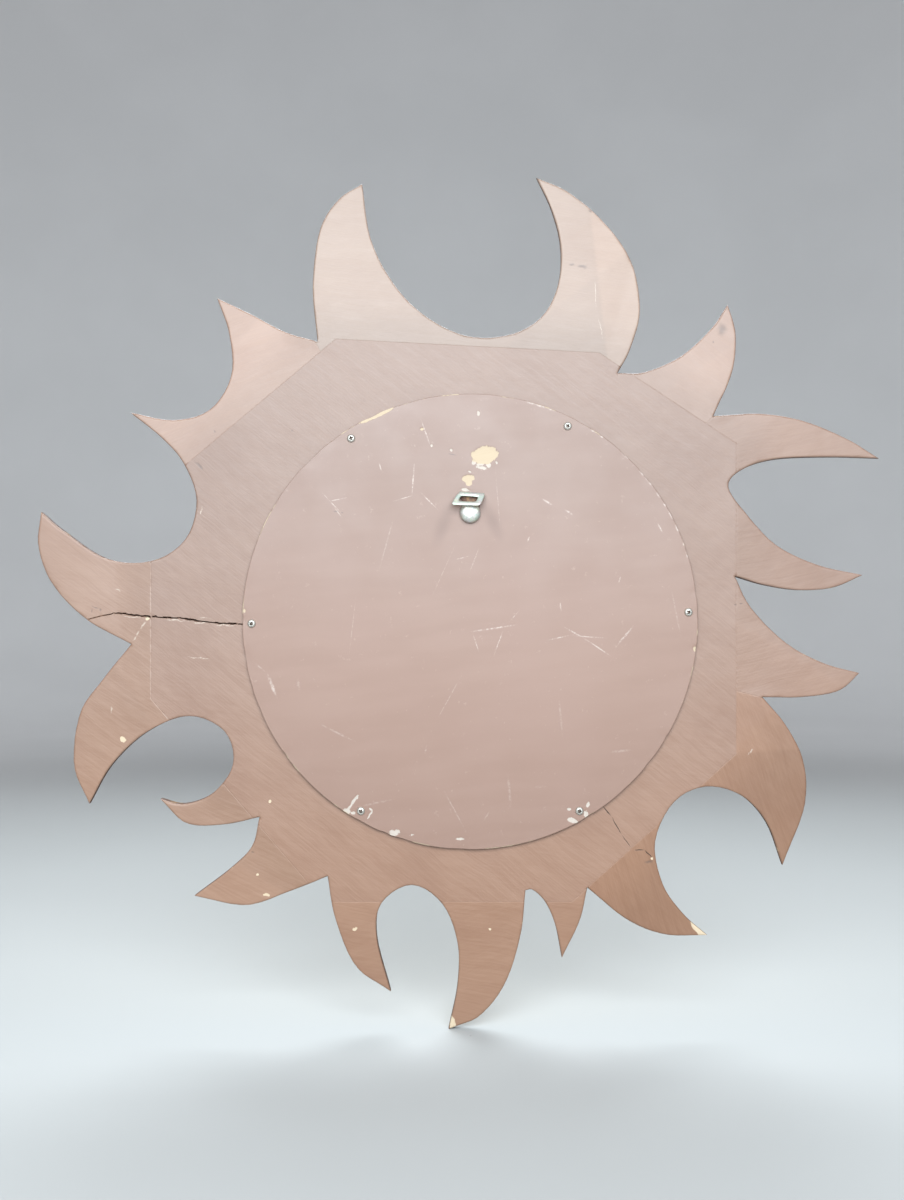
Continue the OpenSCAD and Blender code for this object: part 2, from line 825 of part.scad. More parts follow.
module catch_screw() {
    color([0.72, 0.60, 0.35]) in_frame() at(CATCH_SCREW) leaf_screw();
}

// ---- movement frame ----
cup_r = 2;

module pillar_sites() {
    for (a = PILLAR_ANGLES)
        at(along(CENTRE, a, pillar_ring_r)) children();
}

module pivot_holes(d0, d1) {
    for (p = [INTERMEDIATE, THIRD, FOURTH, ESCAPE, LEVER])
        at(p) round_bar(pivot_r + running_gap, d0, d1);
    at(BARREL) round_bar(barrel_arbor_r + running_gap, d0, d1);
    pillar_sites() round_bar(movement_screw_r + 0.1, d0, d1);
    at(BALANCE) round_bar(cup_r, d0, d1);
}

module front_plate() {
    color([0.83, 0.68, 0.36]) in_frame() {
        difference() {
            round_bar(plate_r, front_plate_in, front_plate_d);
            pivot_holes(front_plate_in - 1, front_plate_d + 1);
            round_bar(centre_arbor_r + running_gap, front_plate_in - 1, front_plate_d + 1);
        }
        at(MINUTE) round_bar(arbor_r, front_plate_d - 0.1, dial_back - 1);
        at(CLICK) round_bar(arbor_r, front_plate_d - 0.1, front_plate_d + 2.4);
    }
}

module back_plate() {
    color([0.83, 0.68, 0.36]) in_frame() difference() {
        round_bar(plate_r, back_plate_d, back_plate_in);
        pivot_holes(back_plate_d - 1, back_plate_in + 1);
        round_bar(pivot_r + running_gap, back_plate_d - 1, back_plate_in + 1);
    }
}

module plate_pillars() {
    end_r = 3.4;
    waist_r = 2.6;
    color([0.78, 0.63, 0.33]) in_frame() pillar_sites() difference() {
        turned([
            [0, back_plate_in], [end_r, back_plate_in], [end_r, back_plate_in + 2],
            [waist_r, back_plate_in + 3], [waist_r, front_plate_in - 3],
            [end_r, front_plate_in - 2], [end_r, front_plate_in], [0, front_plate_in]
        ]);
        round_bar(movement_screw_r, back_plate_in - 1, back_plate_in + 5);
        round_bar(movement_screw_r, front_plate_in - 5, front_plate_in + 1);
    }
}

module movement_screws() {
    head_r = 2.7;
    head_h = 1.4;
    color([0.55, 0.57, 0.62]) in_frame() pillar_sites() {
        cheese_screw(head_r, head_h, movement_screw_r, back_plate_d, back_plate_in + 4);
        cheese_screw(head_r, head_h, movement_screw_r, front_plate_d, front_plate_in - 4);
    }
}

module balance_cups() {
    color([0.55, 0.57, 0.62]) in_frame() at(BALANCE) {
        difference() {
            round_bar(cup_r, back_plate_d - 1, back_plate_in + 1);
            round_bar(pivot_r + running_gap, back_plate_in - 0.5, back_plate_in + 2);
        }
        difference() {
            round_bar(cup_r, front_plate_in - 1, front_plate_d + 1);
            round_bar(pivot_r + running_gap, front_plate_in - 2, front_plate_in + 0.5);
        }
    }
}

// ---- winding work ----
ratchet_r = 9;
ratchet_d0 = front_plate_d + 0.5;
ratchet_d1 = front_plate_d + 1.9;

module barrel_arbor() {
    hub_r = 5;
    square_front = dial_front + 2.8;
    color([0.62, 0.64, 0.68]) in_frame() at(BARREL) {
        round_bar(barrel_arbor_r, back_plate_d, ratchet_d0);
        round_bar(hub_r, MAINSPRING_D[0] - 0.2, MAINSPRING_D[1] + 0.2);
        slab(ratchet_d0 - 0.1, square_front) square(winding_square, center = true);
    }
}

module ratchet_wheel() {
    color([0.60, 0.62, 0.66]) in_frame() at(BARREL) slab(ratchet_d0, ratchet_d1)
        difference() {
            polygon(saw_points(ratchet_z, ratchet_r - 1.2, ratchet_r));
            square(winding_square, center = true);
        }
}

nose_dir = 67.5;
NOSE = along(BARREL, nose_dir, ratchet_r + 0.2);

module click() {
    to_nose = NOSE - CLICK;
    reach = norm(to_nose);
    color([0.60, 0.62, 0.66]) in_frame() at(CLICK) slab(ratchet_d0, ratchet_d1)
        difference() {
            union() {
                circle(2.6);
                rotate(atan2(to_nose[1], to_nose[0]))
                    polygon([[0, -2], [reach - 2.5, -0.1], [reach, 0], [reach - 1, 1.4],
                             [0, 2.2]]);
            }
            circle(arbor_r + running_gap);
        }
}

// A bent wire whose free end stands just off the click's back.
module click_spring() {
    spring_post = along(CLICK, 150, 14);
    spring_t = 0.6;
    color([0.62, 0.64, 0.68]) in_frame() {
        at(spring_post) round_bar(1.5, front_plate_d, ratchet_d1);
        slab(ratchet_d0, ratchet_d1 - 0.4) polygon([
            spring_post + [0, 1.4], spring_post + [0, 1.4 - spring_t],
            CLICK + [1, 4.0], CLICK + [1, 4.0 + spring_t]
        ]);
    }
}

// ---- going train ----
drum_front = 23;
drum_r = 19.5;
wall = 1.2;

module barrel_drum() {
    color([0.82, 0.66, 0.34]) in_frame() at(BARREL) difference() {
        union() {
            slab(GREAT_WHEEL_D[0], GREAT_WHEEL_D[1])
                polygon(tooth_points(great_z, great_m, 0, WHEEL_FLANK, WHEEL_REACH));
            round_bar(drum_r, GREAT_WHEEL_D[0], drum_front);
        }
        round_bar(drum_r - wall, GREAT_WHEEL_D[0] + 2, drum_front + 1);
        round_bar(barrel_arbor_r + running_gap, GREAT_WHEEL_D[0] - 1, drum_front);
    }
}

module barrel_cover() {
    color([0.80, 0.64, 0.32]) in_frame() at(BARREL) difference() {
        round_bar(drum_r - wall, drum_front - 1, drum_front);
        round_bar(barrel_arbor_r + running_gap, drum_front - 2, drum_front + 1);
    }
}

// A coiled band whose turns lie clear of the arbor's hub and of the drum's wall.
module mainspring() {
    color([0.45, 0.50, 0.58]) in_frame() at(BARREL) slab(MAINSPRING_D[0], MAINSPRING_D[1])
        spiral_band(inner = 6.2, pitch = 1.55, band = 0.5, turns = 7);
}

module intermediate_wheel() {
    color([0.84, 0.69, 0.37]) in_frame() at(INTERMEDIATE) {
        wheel(great_z, great_m, INTERMEDIATE_WHEEL_D, 0, 4, 5, 1.8);
        pinion(great_leaves, great_m, mesh_turn(180, great_z, great_leaves),
               INTERMEDIATE_PINION_D, 0);
        plain_arbor();
    }
}

module centre_arbor() {
    color([0.62, 0.64, 0.68]) in_frame() {
        round_bar(centre_arbor_r, back_plate_in + end_shake, minute_hand_d);
        round_bar(pivot_r, back_plate_d, back_plate_in + 1);
        round_bar(1, minute_hand_d - 0.1, minute_hand_d + 3);
        pinion(great_leaves, great_m, mesh_turn(90, great_z, great_leaves),
               CENTRE_PINION_D, 0);
    }
}

module centre_wheel() {
    color([0.84, 0.69, 0.37]) in_frame()
        wheel(centre_z, centre_m, CENTRE_WHEEL_D, centre_arbor_r, 4, 5, 1.6);
}

module third_wheel() {
    color([0.84, 0.69, 0.37]) in_frame() at(THIRD) {
        wheel(third_z, third_m, THIRD_WHEEL_D, 0, 3, 5, 1.4);
        pinion(third_leaves, centre_m, mesh_turn(third_dir, centre_z, third_leaves),
               THIRD_PINION_D, 0);
        plain_arbor();
    }
}

module fourth_wheel() {
    color([0.84, 0.69, 0.37]) in_frame() at(FOURTH) {
        wheel(fourth_z, fourth_m, FOURTH_WHEEL_D, 0, 2.6, 5, 1.2);
        pinion(fourth_leaves, third_m, mesh_turn(fourth_dir, third_z, fourth_leaves),
               FOURTH_PINION_D, 0);
        plain_arbor();
    }
}

module escape_wheel() {
    color([0.84, 0.69, 0.37]) in_frame() at(ESCAPE) {
        slab(ESCAPE_WHEEL_D[0], ESCAPE_WHEEL_D[1]) difference() {
            polygon([for (i = [0:escape_z - 1], k = [0:3])
                let (tip = k == 1 || k == 2,
                     r = tip ? escape_r : escape_r - 2,
                     half = [-0.16, -0.07, 0.07, 0.16][k],
                     a = (i + half) * 360 / escape_z)
                [r * cos(a), r * sin(a)]]);
            crossings(2, 4.6, 4, 1);
        }
        pinion(escape_leaves, fourth_m, mesh_turn(escape_dir, fourth_z, escape_leaves),
               ESCAPE_PINION_D, 0);
        plain_arbor(0.7);
    }
}

// The lever's two stones stand just off the escape wheel's tip circle; its fork
// ends just short of the impulse pin's path.
stone_gap = 0.15;
impulse_r = 2.4;
impulse_pin_r = 0.4;
staff_r = 0.8;

module pallet_lever() {
    fork_reach = BALANCE[0] - LEVER[0] - impulse_r - impulse_pin_r - 0.2;
    stone_w = 0.9;
    color([0.62, 0.64, 0.68]) in_frame() {
        slab(ESCAPE_WHEEL_D[0], ESCAPE_WHEEL_D[1]) {
            for (side = [-1, 1]) {
                translate(ESCAPE) rotate(30 * side)
                    translate([escape_r + stone_gap, -stone_w / 2]) square([1.8, stone_w]);
                translate(LEVER) polygon([
                    [1.2, 0], [-0.6, 0], [-1.6, 4.3 * side], [-0.5, 5 * side]
                ]);
            }
            translate(LEVER) difference() {
                polygon([[0, -1.4], [fork_reach - 2.5, -0.5], [fork_reach, -1.5],
                         [fork_reach, 1.5], [fork_reach - 2.5, 0.5], [0, 1.4]]);
                translate([fork_reach - 1.2, -0.5]) square([2, 1]);
            }
        }
        at(LEVER) plain_arbor();
    }
}

module balance_wheel() {
    balance_r = 11;
    color([0.84, 0.69, 0.37]) in_frame() at(BALANCE) {
        slab(BALANCE_D[0], BALANCE_D[1]) difference() {
            circle(balance_r);
            crossings(1.8, balance_r - 1.5, 2, 1.4);
        }
        round_bar(staff_r, back_plate_in + 1.2, front_plate_in - 1.2);
        round_bar(pivot_r, back_plate_in - 0.3, front_plate_in + 0.3);
        round_bar(impulse_r + 0.8, ROLLER_D[0], ROLLER_D[1]);
        at([-impulse_r, 0])
            round_bar(impulse_pin_r, ESCAPE_WHEEL_D[0], ROLLER_D[0] + 0.1);
    }
}

// The hairspring, from its collet on the balance staff outwards.
module hairspring() {
    color([0.40, 0.50, 0.70]) in_frame() at(BALANCE) {
        slab(HAIRSPRING_D[0], HAIRSPRING_D[1])
            spiral_band(inner = 1.4, pitch = 0.85, band = 0.25, turns = 5);
        difference() {
            round_bar(1.6, HAIRSPRING_D[0] - 0.2, HAIRSPRING_D[1] + 0.2);
            round_bar(staff_r, HAIRSPRING_D[0] - 0.5, HAIRSPRING_D[1] + 0.8);
        }
    }
}

// ---- motion work and hands ----
module cannon_pinion() {
    color([0.62, 0.64, 0.68]) in_frame() {
        difference() {
            round_bar(cannon_r, front_plate_d + 0.3, minute_hand_d);
            round_bar(centre_arbor_r, front_plate_d - 1, minute_hand_d + 1);
        }
        pinion(cannon_z, dial_m, 180 + cannon_mesh, CANNON_PINION_D, cannon_r - 0.1);
    }
}

// The minute wheel's tooth is at 0; the cannon pinion lies back along minute_dir.
cannon_mesh = mesh_turn(minute_dir + 180, minute_z, cannon_z) - 180;

module minute_wheel() {
    color([0.84, 0.69, 0.37]) in_frame() at(MINUTE) difference() {
        union() {
            slab(MINUTE_WHEEL_D[0], MINUTE_WHEEL_D[1])
                polygon(tooth_points(minute_z, dial_m, 0, WHEEL_FLANK, WHEEL_REACH));
            pinion(minute_leaves, dial_m, mesh_turn(minute_dir, hour_z, minute_leaves),
                   MINUTE_PINION_D, 0);
        }
        round_bar(arbor_r + running_gap, MINUTE_WHEEL_D[0] - 1, MINUTE_PINION_D[1] + 1);
    }
}

module hour_wheel() {
    color([0.84, 0.69, 0.37]) in_frame() {
        wheel(hour_z, dial_m, HOUR_WHEEL_D, cannon_r + running_gap, 5, 4, 1.8);
        difference() {
            round_bar(hour_pipe_r, HOUR_WHEEL_D[0], hour_hand_d + hand_t);
            round_bar(cannon_r + running_gap, HOUR_WHEEL_D[0] - 1, hour_hand_d + hand_t + 1);
        }
    }
}

// A hand with a round boss, a pierced leaf near the tip and a short tail.
module hand_plan(length, boss_r, bore_r, leaf_w) {
    tail = 0.2 * length;
    leaf_at = 0.68 * length;
    leaf_l = 0.13 * length;
    difference() {
        union() {
            circle(boss_r);
            polygon([[-tail - 2.4, 0], [-tail, -2.4], [0, -1.8], [leaf_at - leaf_l, -1.2],
                     [leaf_at, -leaf_w], [length, 0], [leaf_at, leaf_w],
                     [leaf_at - leaf_l, 1.2], [0, 1.8], [-tail, 2.4]]);
        }
        circle(bore_r);
        polygon([[leaf_at - 0.5 * leaf_l, 0], [leaf_at, -0.45 * leaf_w],
                 [leaf_at + leaf_l, 0], [leaf_at, 0.45 * leaf_w]]);
    }
}

module hour_hand() {
    turn = 90 - 30 * (10 + shown_minutes / 60);
    color([0.10, 0.09, 0.08]) in_frame() slab(hour_hand_d, hour_hand_d + hand_t)
        rotate(turn) hand_plan(hour_hand_l, 7, hour_pipe_r, 6.5);
}

module minute_hand() {
    turn = 90 - 6 * shown_minutes;
    color([0.10, 0.09, 0.08]) in_frame() slab(minute_hand_d, minute_hand_d + hand_t)
        rotate(turn) hand_plan(minute_hand_l, 5, 1, 4.5);
}

module hand_nut() {
    color([0.78, 0.62, 0.30]) in_frame() difference() {
        turned([
            [0, minute_hand_d + hand_t], [3, minute_hand_d + hand_t],
            [3, minute_hand_d + hand_t + 1.2], [2, minute_hand_d + hand_t + 2.6],
            [0, minute_hand_d + hand_t + 2.9]
        ]);
        round_bar(1, minute_hand_d, minute_hand_d + 3);
    }
}

sun_core();
ray_block_top();
ray_block_upper_right();
ray_block_right();
ray_block_lower_right();
ray_block_bottom();
ray_block_lower_left();
ray_block_left();
ray_block_upper_left();
front_moulding();
back_panel();
back_panel_screws();
hanger_strip();
hanger_bolt();
hanger_washer();
hanger_nut();
dial_plate();
hour_numerals();
minute_track();
dial_screws();
winding_grommet();
dial_feet();
case_hinge_leaf();
hinge_screws();
hinge_pin();
bezel_catch();
catch_screw();
bezel_ring();
bezel_glass();
glass_retainer();
bezel_hinge_leaf();
bezel_knob();
front_plate();
back_plate();
plate_pillars();
movement_screws();
click_spring();
balance_cups();
barrel_arbor();
ratchet_wheel();
click();
barrel_drum();
barrel_cover();
mainspring();
intermediate_wheel();
centre_arbor();
centre_wheel();
cannon_pinion();
minute_hand();
hand_nut();
minute_wheel();
hour_wheel();
hour_hand();
third_wheel();
fourth_wheel();
escape_wheel();
pallet_lever();
balance_wheel();
hairspring();
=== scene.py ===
"""Looks for the sunburst wall clock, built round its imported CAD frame.

Plan points are (x, z) in millimetres from the dial's centre, seen from the front, and a
depth runs from the boards' back face towards the front. place() turns them into metres.
"""
import json
import math

import bmesh
import bpy
import numpy as np
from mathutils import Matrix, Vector
from mathutils.geometry import delaunay_2d_cdt


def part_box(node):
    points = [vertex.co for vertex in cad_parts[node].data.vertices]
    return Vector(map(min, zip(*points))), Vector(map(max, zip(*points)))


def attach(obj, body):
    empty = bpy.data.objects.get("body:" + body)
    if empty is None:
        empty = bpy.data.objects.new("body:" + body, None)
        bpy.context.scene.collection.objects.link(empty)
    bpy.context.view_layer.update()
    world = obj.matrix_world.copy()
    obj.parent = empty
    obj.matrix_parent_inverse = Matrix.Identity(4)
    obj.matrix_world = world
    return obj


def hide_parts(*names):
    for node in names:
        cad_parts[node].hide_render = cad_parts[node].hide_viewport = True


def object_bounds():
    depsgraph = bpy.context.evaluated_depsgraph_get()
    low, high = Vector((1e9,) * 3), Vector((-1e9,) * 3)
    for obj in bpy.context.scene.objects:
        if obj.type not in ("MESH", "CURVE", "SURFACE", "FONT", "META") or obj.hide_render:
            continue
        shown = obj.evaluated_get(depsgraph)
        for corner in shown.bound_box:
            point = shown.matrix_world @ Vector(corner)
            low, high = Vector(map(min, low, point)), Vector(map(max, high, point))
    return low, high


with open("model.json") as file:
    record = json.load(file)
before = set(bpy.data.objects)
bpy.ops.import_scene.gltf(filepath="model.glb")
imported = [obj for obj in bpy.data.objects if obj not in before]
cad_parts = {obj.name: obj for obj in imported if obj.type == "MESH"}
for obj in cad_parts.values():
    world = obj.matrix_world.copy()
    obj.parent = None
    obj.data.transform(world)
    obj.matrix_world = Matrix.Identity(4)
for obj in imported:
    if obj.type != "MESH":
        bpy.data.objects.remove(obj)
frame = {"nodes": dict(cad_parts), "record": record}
cad_lo, cad_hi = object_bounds()

# ---- frame ----
MM = 0.001
BACK_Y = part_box("sun_core")[1].y


def centre_of(node):
    return (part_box(node)[0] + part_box(node)[1]) / 2


def front_and_radius(node):
    """How far a node stands in front of the boards' back, and half its width."""
    lo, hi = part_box(node)
    return (BACK_Y - lo.y) / MM, (hi.x - lo.x) / 2 / MM


AXIS = centre_of("front_moulding")
BOARD_T, _ = front_and_radius("sun_core")
MOULDING_FRONT, MOULDING_R = front_and_radius("front_moulding")
BEZEL_FRONT, BEZEL_R = front_and_radius("bezel_ring")
_, PANEL_R = front_and_radius("back_panel")
PANEL_T = (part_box("back_panel")[1].y - BACK_Y) / MM
OPENING_R = 150


def place(x, depth, z):
    """Row-frame position, in metres, of a plan point at a depth."""
    return Vector((AXIS.x + x * MM, BACK_Y - depth * MM, AXIS.z + z * MM))


def plan_of(co):
    """Plan points of an array of positions."""
    return np.c_[co[:, 0] - AXIS.x, co[:, 2] - AXIS.z] / MM


def points_of(node):
    return np.array([v.co for v in frame["nodes"][node].data.vertices])


def around(count):
    """Angles evenly spaced round a circle."""
    return 2 * np.pi * np.arange(count) / count


def linked(name, data):
    obj = bpy.data.objects.new(name, data)
    bpy.context.scene.collection.objects.link(obj)
    return obj


# ---- meshes ----
def new_mesh(name, verts, faces, body, materials, slot, replaced, smooth):
    """A piece that rides a body in a node's place, smooth up to an angle in degrees."""
    mesh = bpy.data.meshes.new(name)
    mesh.from_pydata([tuple(v) for v in verts], [], [tuple(f) for f in faces])
    mesh.validate()
    obj = linked(name, mesh)
    for material in materials:
        mesh.materials.append(material)
    bm = bmesh.new()
    bm.from_mesh(mesh)
    bmesh.ops.recalc_face_normals(bm, faces=bm.faces)
    for e in bm.edges:
        e.smooth = len(e.link_faces) == 2 and e.calc_face_angle(0) < math.radians(smooth)
    for f in bm.faces:
        f.smooth = True
    bm.to_mesh(mesh)
    bm.free()
    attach(obj, body)
    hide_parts(replaced)
    return obj


def store(obj, **layers):
    """Keep a number for each point of a mesh, for its material to read."""
    for name, values in layers.items():
        layer = obj.data.attributes.new(name, "FLOAT", "POINT")
        layer.data.foreach_set("value", np.asarray(values, np.float32))


def bands(starts, count):
    """Quads between closed rings of count points, each given by its first point."""
    return [(a + k, a + (k + 1) % count, b + (k + 1) % count, b + k)
            for a, b in zip(starts[:-1], starts[1:]) for k in range(count)]


def walls(loops, offset):
    """Quads from each loop's points to the points an offset further on."""
    faces, base = [], 0
    for points in loops:
        faces += bands([base, base + offset], len(points))
        base += len(points)
    return faces


def turned(name, profile, body, material, slot, replaced, segments, smooth, carve=None):
    """A closed (radius, depth) profile turned round the dial's axis."""
    verts, n = [], len(profile)
    for a in around(segments):
        for k, (r, d) in enumerate(profile):
            r, d = carve(a, k, r, d) if carve else (r, d)
            verts.append(place(r * math.cos(a), d, r * math.sin(a)))
    faces = bands([*range(0, segments * n, n), 0], n)
    return new_mesh(name, verts, faces, body, [material], slot, replaced, smooth)


def rounded(points, radius, steps):
    """The profile's corners replaced by small arcs."""
    out, n = [], len(points)
    for i in range(n):
        p, a, b = (np.array(points[j % n], float) for j in (i, i - 1, i + 1))
        u, v = a - p, b - p
        lu, lv = np.linalg.norm(u), np.linalg.norm(v)
        turn = math.acos(max(-1, min(1, float(u @ v) / (lu * lv))))
        cut = min(radius / max(math.tan(turn / 2), 0.05), lu * 0.4, lv * 0.4)
        start, end = p + u / lu * cut, p + v / lv * cut
        for t in np.arange(steps + 1) / steps:
            out.append(tuple((1 - t) ** 2 * start + 2 * t * (1 - t) * p + t * t * end))
    return out


# ---- plan points ----
def front_loops(node):
    """Closed loops of plan points round a node's front plane."""
    co = points_of(node)
    on_front = np.abs(co[:, 1] - co[:, 1].min()) < 1e-6
    plan, uses = np.round(plan_of(co), 3), {}
    for poly in frame["nodes"][node].data.polygons:
        ids = list(poly.vertices)
        if on_front[ids].all():
            keys = [tuple(plan[i]) for i in ids]
            for a, b in zip(keys, keys[1:] + keys[:1]):
                if a != b:
                    edge = (b, a) if (b, a) in uses else (a, b)
                    uses[edge] = uses.get(edge, 0) + 1
    step = {a: b for (a, b), count in uses.items() if count == 1}
    loops = []
    while step:
        loop = [next(iter(step))]
        while step.get(loop[-1]) is not None:
            loop.append(step.pop(loop[-1]))
        loops.append(np.array(loop[:-1]))
    return loops


def segments_of(loops):
    return np.concatenate([np.c_[lo, np.roll(lo, -1, 0)] for lo in loops])


def distance(points, segs, chunk=4000):
    """Distance from each point to the nearest segment."""
    out = np.empty(len(points))
    a, d = segs[:, :2], segs[:, 2:] - segs[:, :2]
    ll = np.maximum((d * d).sum(1), 1e-12)
    for i in range(0, len(points), chunk):
        p = points[i:i + chunk, None, :]
        t = np.clip(((p - a) * d).sum(2) / ll, 0, 1)
        out[i:i + chunk] = np.sqrt((((a + t[..., None] * d) - p) ** 2).sum(2)).min(1)
    return out


def inside(points, loops):
    """Even-odd test of points against closed loops."""
    hit = np.zeros(len(points), bool)
    for x0, z0, x1, z1 in segments_of(loops):
        if z0 != z1:
            crosses = (points[:, 1] < z0) != (points[:, 1] < z1)
            hit ^= crosses & (points[:, 0] < x0 + (points[:, 1] - z0) / (z1 - z0) * (x1 - x0))
    return hit


def corner_flags(loop, limit=24):
    """True where a closed loop turns by more than the limit, in degrees."""
    ahead, behind = np.roll(loop, -1, 0) - loop, loop - np.roll(loop, 1, 0)
    turn = np.arctan2(ahead[:, 1], ahead[:, 0]) - np.arctan2(behind[:, 1], behind[:, 0])
    return np.abs((np.degrees(turn) + 180) % 360 - 180) > limit


def resampled(loop, fixed, straight, step):
    """The loop with points about a step apart: straight runs stay straight, others are
    smoothed between fixed points. Returns the points and which of them lie on a joint."""
    n, points, on_joint = len(loop), [], []
    for i in range(n):
        b, c = loop[i], loop[(i + 1) % n]
        a = 2 * b - c if fixed[i] else loop[i - 1]
        d = 2 * c - b if fixed[(i + 1) % n] else loop[(i + 2) % n]
        parts = max(1, round(float(np.linalg.norm(c - b)) / step))
        for k in range(parts):
            t = k / parts
            if straight[i]:
                points.append(b + (c - b) * t)
            else:
                points.append(0.5 * (2 * b + (c - a) * t + (2 * a - 5 * b + 4 * c - d) * t * t
                                     + (3 * b - a - 3 * c + d) * t ** 3))
            on_joint.append(bool(straight[i]) or (k == 0 and bool(straight[i - 1])))
    return np.array(points), np.array(on_joint)


def wave_field(points, size, seed):
    """A smooth random field from -1 to 1 that changes over the given size."""
    rng = np.random.default_rng(seed)
    total = np.zeros(len(points))
    for _ in range(9):
        a, phase = rng.uniform(0, 2 * math.pi, 2)
        k = 2 * math.pi / size * rng.uniform(0.6, 1.6)
        total += np.sin(k * (points[:, 0] * math.cos(a) + points[:, 1] * math.sin(a)) + phase)
    return total / 5


def smoothstep(lo, hi, x):
    t = np.clip((x - lo) / (hi - lo), 0, 1)
    return t * t * (3 - 2 * t)


def eased(from_edge, radius):
    """How deep a rounded edge has fallen, at a distance from the edge."""
    return radius - np.sqrt(np.maximum(radius ** 2 - np.maximum(radius - from_edge, 0) ** 2, 0))


def hex_grid(lo, hi, step):
    rows = []
    for j, z in enumerate(np.arange(lo[1], hi[1], step * 0.866)):
        x = np.arange(lo[0] + (j % 2) * step / 2, hi[0], step)
        rows.append(np.c_[x, np.full(len(x), z)])
    return np.concatenate(rows)


def filled(loops, extra):
    """Triangles over the loops with the extra points inside them. The loops' own points
    come first, in order."""
    extra = extra[inside(extra, loops)]
    extra = extra[distance(extra, segments_of(loops)) > 0.22]
    points = [tuple(p) for lo in (*loops, extra) for p in lo]
    edges, base = [], 0
    for lo in loops:
        edges += [(base + k, base + (k + 1) % len(lo)) for k in range(len(lo))]
        base += len(lo)
    made = delaunay_2d_cdt([Vector(p) for p in points], edges, [], 0, 1e-5, False)
    verts = np.array([tuple(v) for v in made[0]])
    tris = np.array([tuple(f) for f in made[2]])
    return verts, tris[inside(verts[tris].mean(1), loops)]


def stroke(x0, z0, x1, z1, width):
    """A mark's row from its two ends."""
    return ((x0 + x1) / 2, (z0 + z1) / 2, math.hypot(x1 - x0, z1 - z0) / 2, width / 2,
            math.degrees(math.atan2(z1 - z0, x1 - x0)))


# ---- the boards ----
# Each board's brush direction in degrees; its tone, partly the board's own colour and partly
# painted sheen (paler, bluer upper rays) and painted shade (darker, warmer lower boards); where
# it changes, how much darker it is painted at the top, as painted shade; its bare chips, pale
# scrapes, dark smears and fine cracks, as rows of (x, z, half length, half width, direction)
BOARDS = {
    "sun_core": {
        # the core's high is painted shade: the core darker towards its top
        "turn": 38, "tone": (0.92, 0.94, 0.95), "high": 0.84,
        "chips": [(158.9, -142.3, 1.2, 0.9, 0)],
        "pale": [stroke(243, 1.9, 224, 0.2, 1.5), stroke(220, -0.4, 207, -1.4, 1.3),
                 stroke(204, -2.4, 185, -3.6, 1.6), stroke(215, 3.0, 204, 2.2, 1.0),
                 stroke(226, -28, 204, -30, 1.2), stroke(212, 92, 214, 84, 1.4)],
        "dark": [(214.6, 123.2, 6, 1.5, 50), (141, 151.8, 1.3, 1.0, 0),
                 stroke(-208.5, 12.4, -212, 13.5, 1.2)],
        "cracks": [stroke(-104.5, -145.5, -112.4, -155.0, 1.1),
                   stroke(-111.6, -153.6, -120.6, -170.0, 0.9),
                   stroke(-119.8, -168.2, -127.9, -180.0, 0.7)]},
    "ray_block_top": {
        "turn": 8, "tone": (0.98, 1.13, 1.19),
        "pale": [stroke(-99, 275, -99.5, 246, 0.8), stroke(-101, 243, -106, 222, 0.8)],
        "dark": [(-89, 282, 5.0, 2.0, 8), (-81, 284, 3.0, 1.4, -10), (-96, 327, 2.2, 1.2, 40)]},
    "ray_block_upper_right": {"turn": -20, "tone": (1.03, 1.06, 1.06),
                              "dark": [(202, 151, 2.2, 1.2, 30)]},
    "ray_block_upper_left": {"turn": 35, "tone": (1.05, 1.10, 1.12),
                             "dark": [(-200, 232, 4.6, 7.0, 0), (-193, 222, 1.4, 1.0, 0)]},
    "ray_block_left": {"turn": -12, "tone": (0.98, 1.0, 1.0),
                       "dark": [stroke(-212.5, 13.8, -216.6, 15.1, 1.2)]},
    "ray_block_lower_left": {
        "turn": 70, "tone": (0.85, 0.80, 0.72),
        "chips": [stroke(-175.5, -238.5, -188.5, -251.5, 5.6), (-144, -188, 1.0, 0.9, 0)],
        "pale": [stroke(-219, -106.4, -225.5, -100, 1.8)],
        "dark": [(-141.5, -190.5, 4.2, 1.8, -10)],
        "cracks": [stroke(-129.5, -181.2, -138.4, -180.8, 1.0),
                   stroke(-137.8, -180.6, -144.9, -187.6, 1.1)]},
    "ray_block_bottom": {
        "turn": 10, "tone": (0.93, 0.93, 0.90),
        "chips": [(14.5, -318, 7, 2.5, 78), (91, -243.5, 1.8, 1.2, 0),
                  (-15.8, -244.3, 1.2, 1.1, 0)]},
    "ray_block_lower_right": {
        "turn": 25, "tone": (1.0, 1.04, 1.04),
        "chips": [(168.9, -200.5, 1.2, 1.0, 0), (161.6, -216.6, 3.0, 1.2, 20)],
        "dark": [(171.9, -182.6, 1.8, 1.2, 0)]},
    "ray_block_right": {
        "turn": 35, "tone": (1.03, 1.05, 1.03),
        "chips": [(275.6, -93.9, 2.6, 2.2, 30), (255.6, 2.6, 1.7, 1.3, 0)],
        "pale": [stroke(278, 4.6, 259, 2.6, 1.4), stroke(256, 2, 261.4, -6, 2.0),
                 stroke(261.4, -6, 267.5, -17, 1.6), stroke(282, 27, 277, 23, 1.8),
                 stroke(284, -66, 285, -74, 1.8)],
        "dark": [(297, 11.5, 4.5, 0.7, 20), (300, 8.5, 0.7, 2.4, 10), (293, 9, 0.7, 2.0, -20)]},
}
# Heights, in metres, between which the core and the panel darken upwards: painted shade
TOP_SHADE_Z = (-0.16, 0.06)
OUTLINE_STEP = 2.0
GRID_STEP = 2.4
EDGE_ROUND = 1.3
JOINT_ROUND = 0.10
FILLED_JOINT_X = 230
FACET_DROP = 2.4
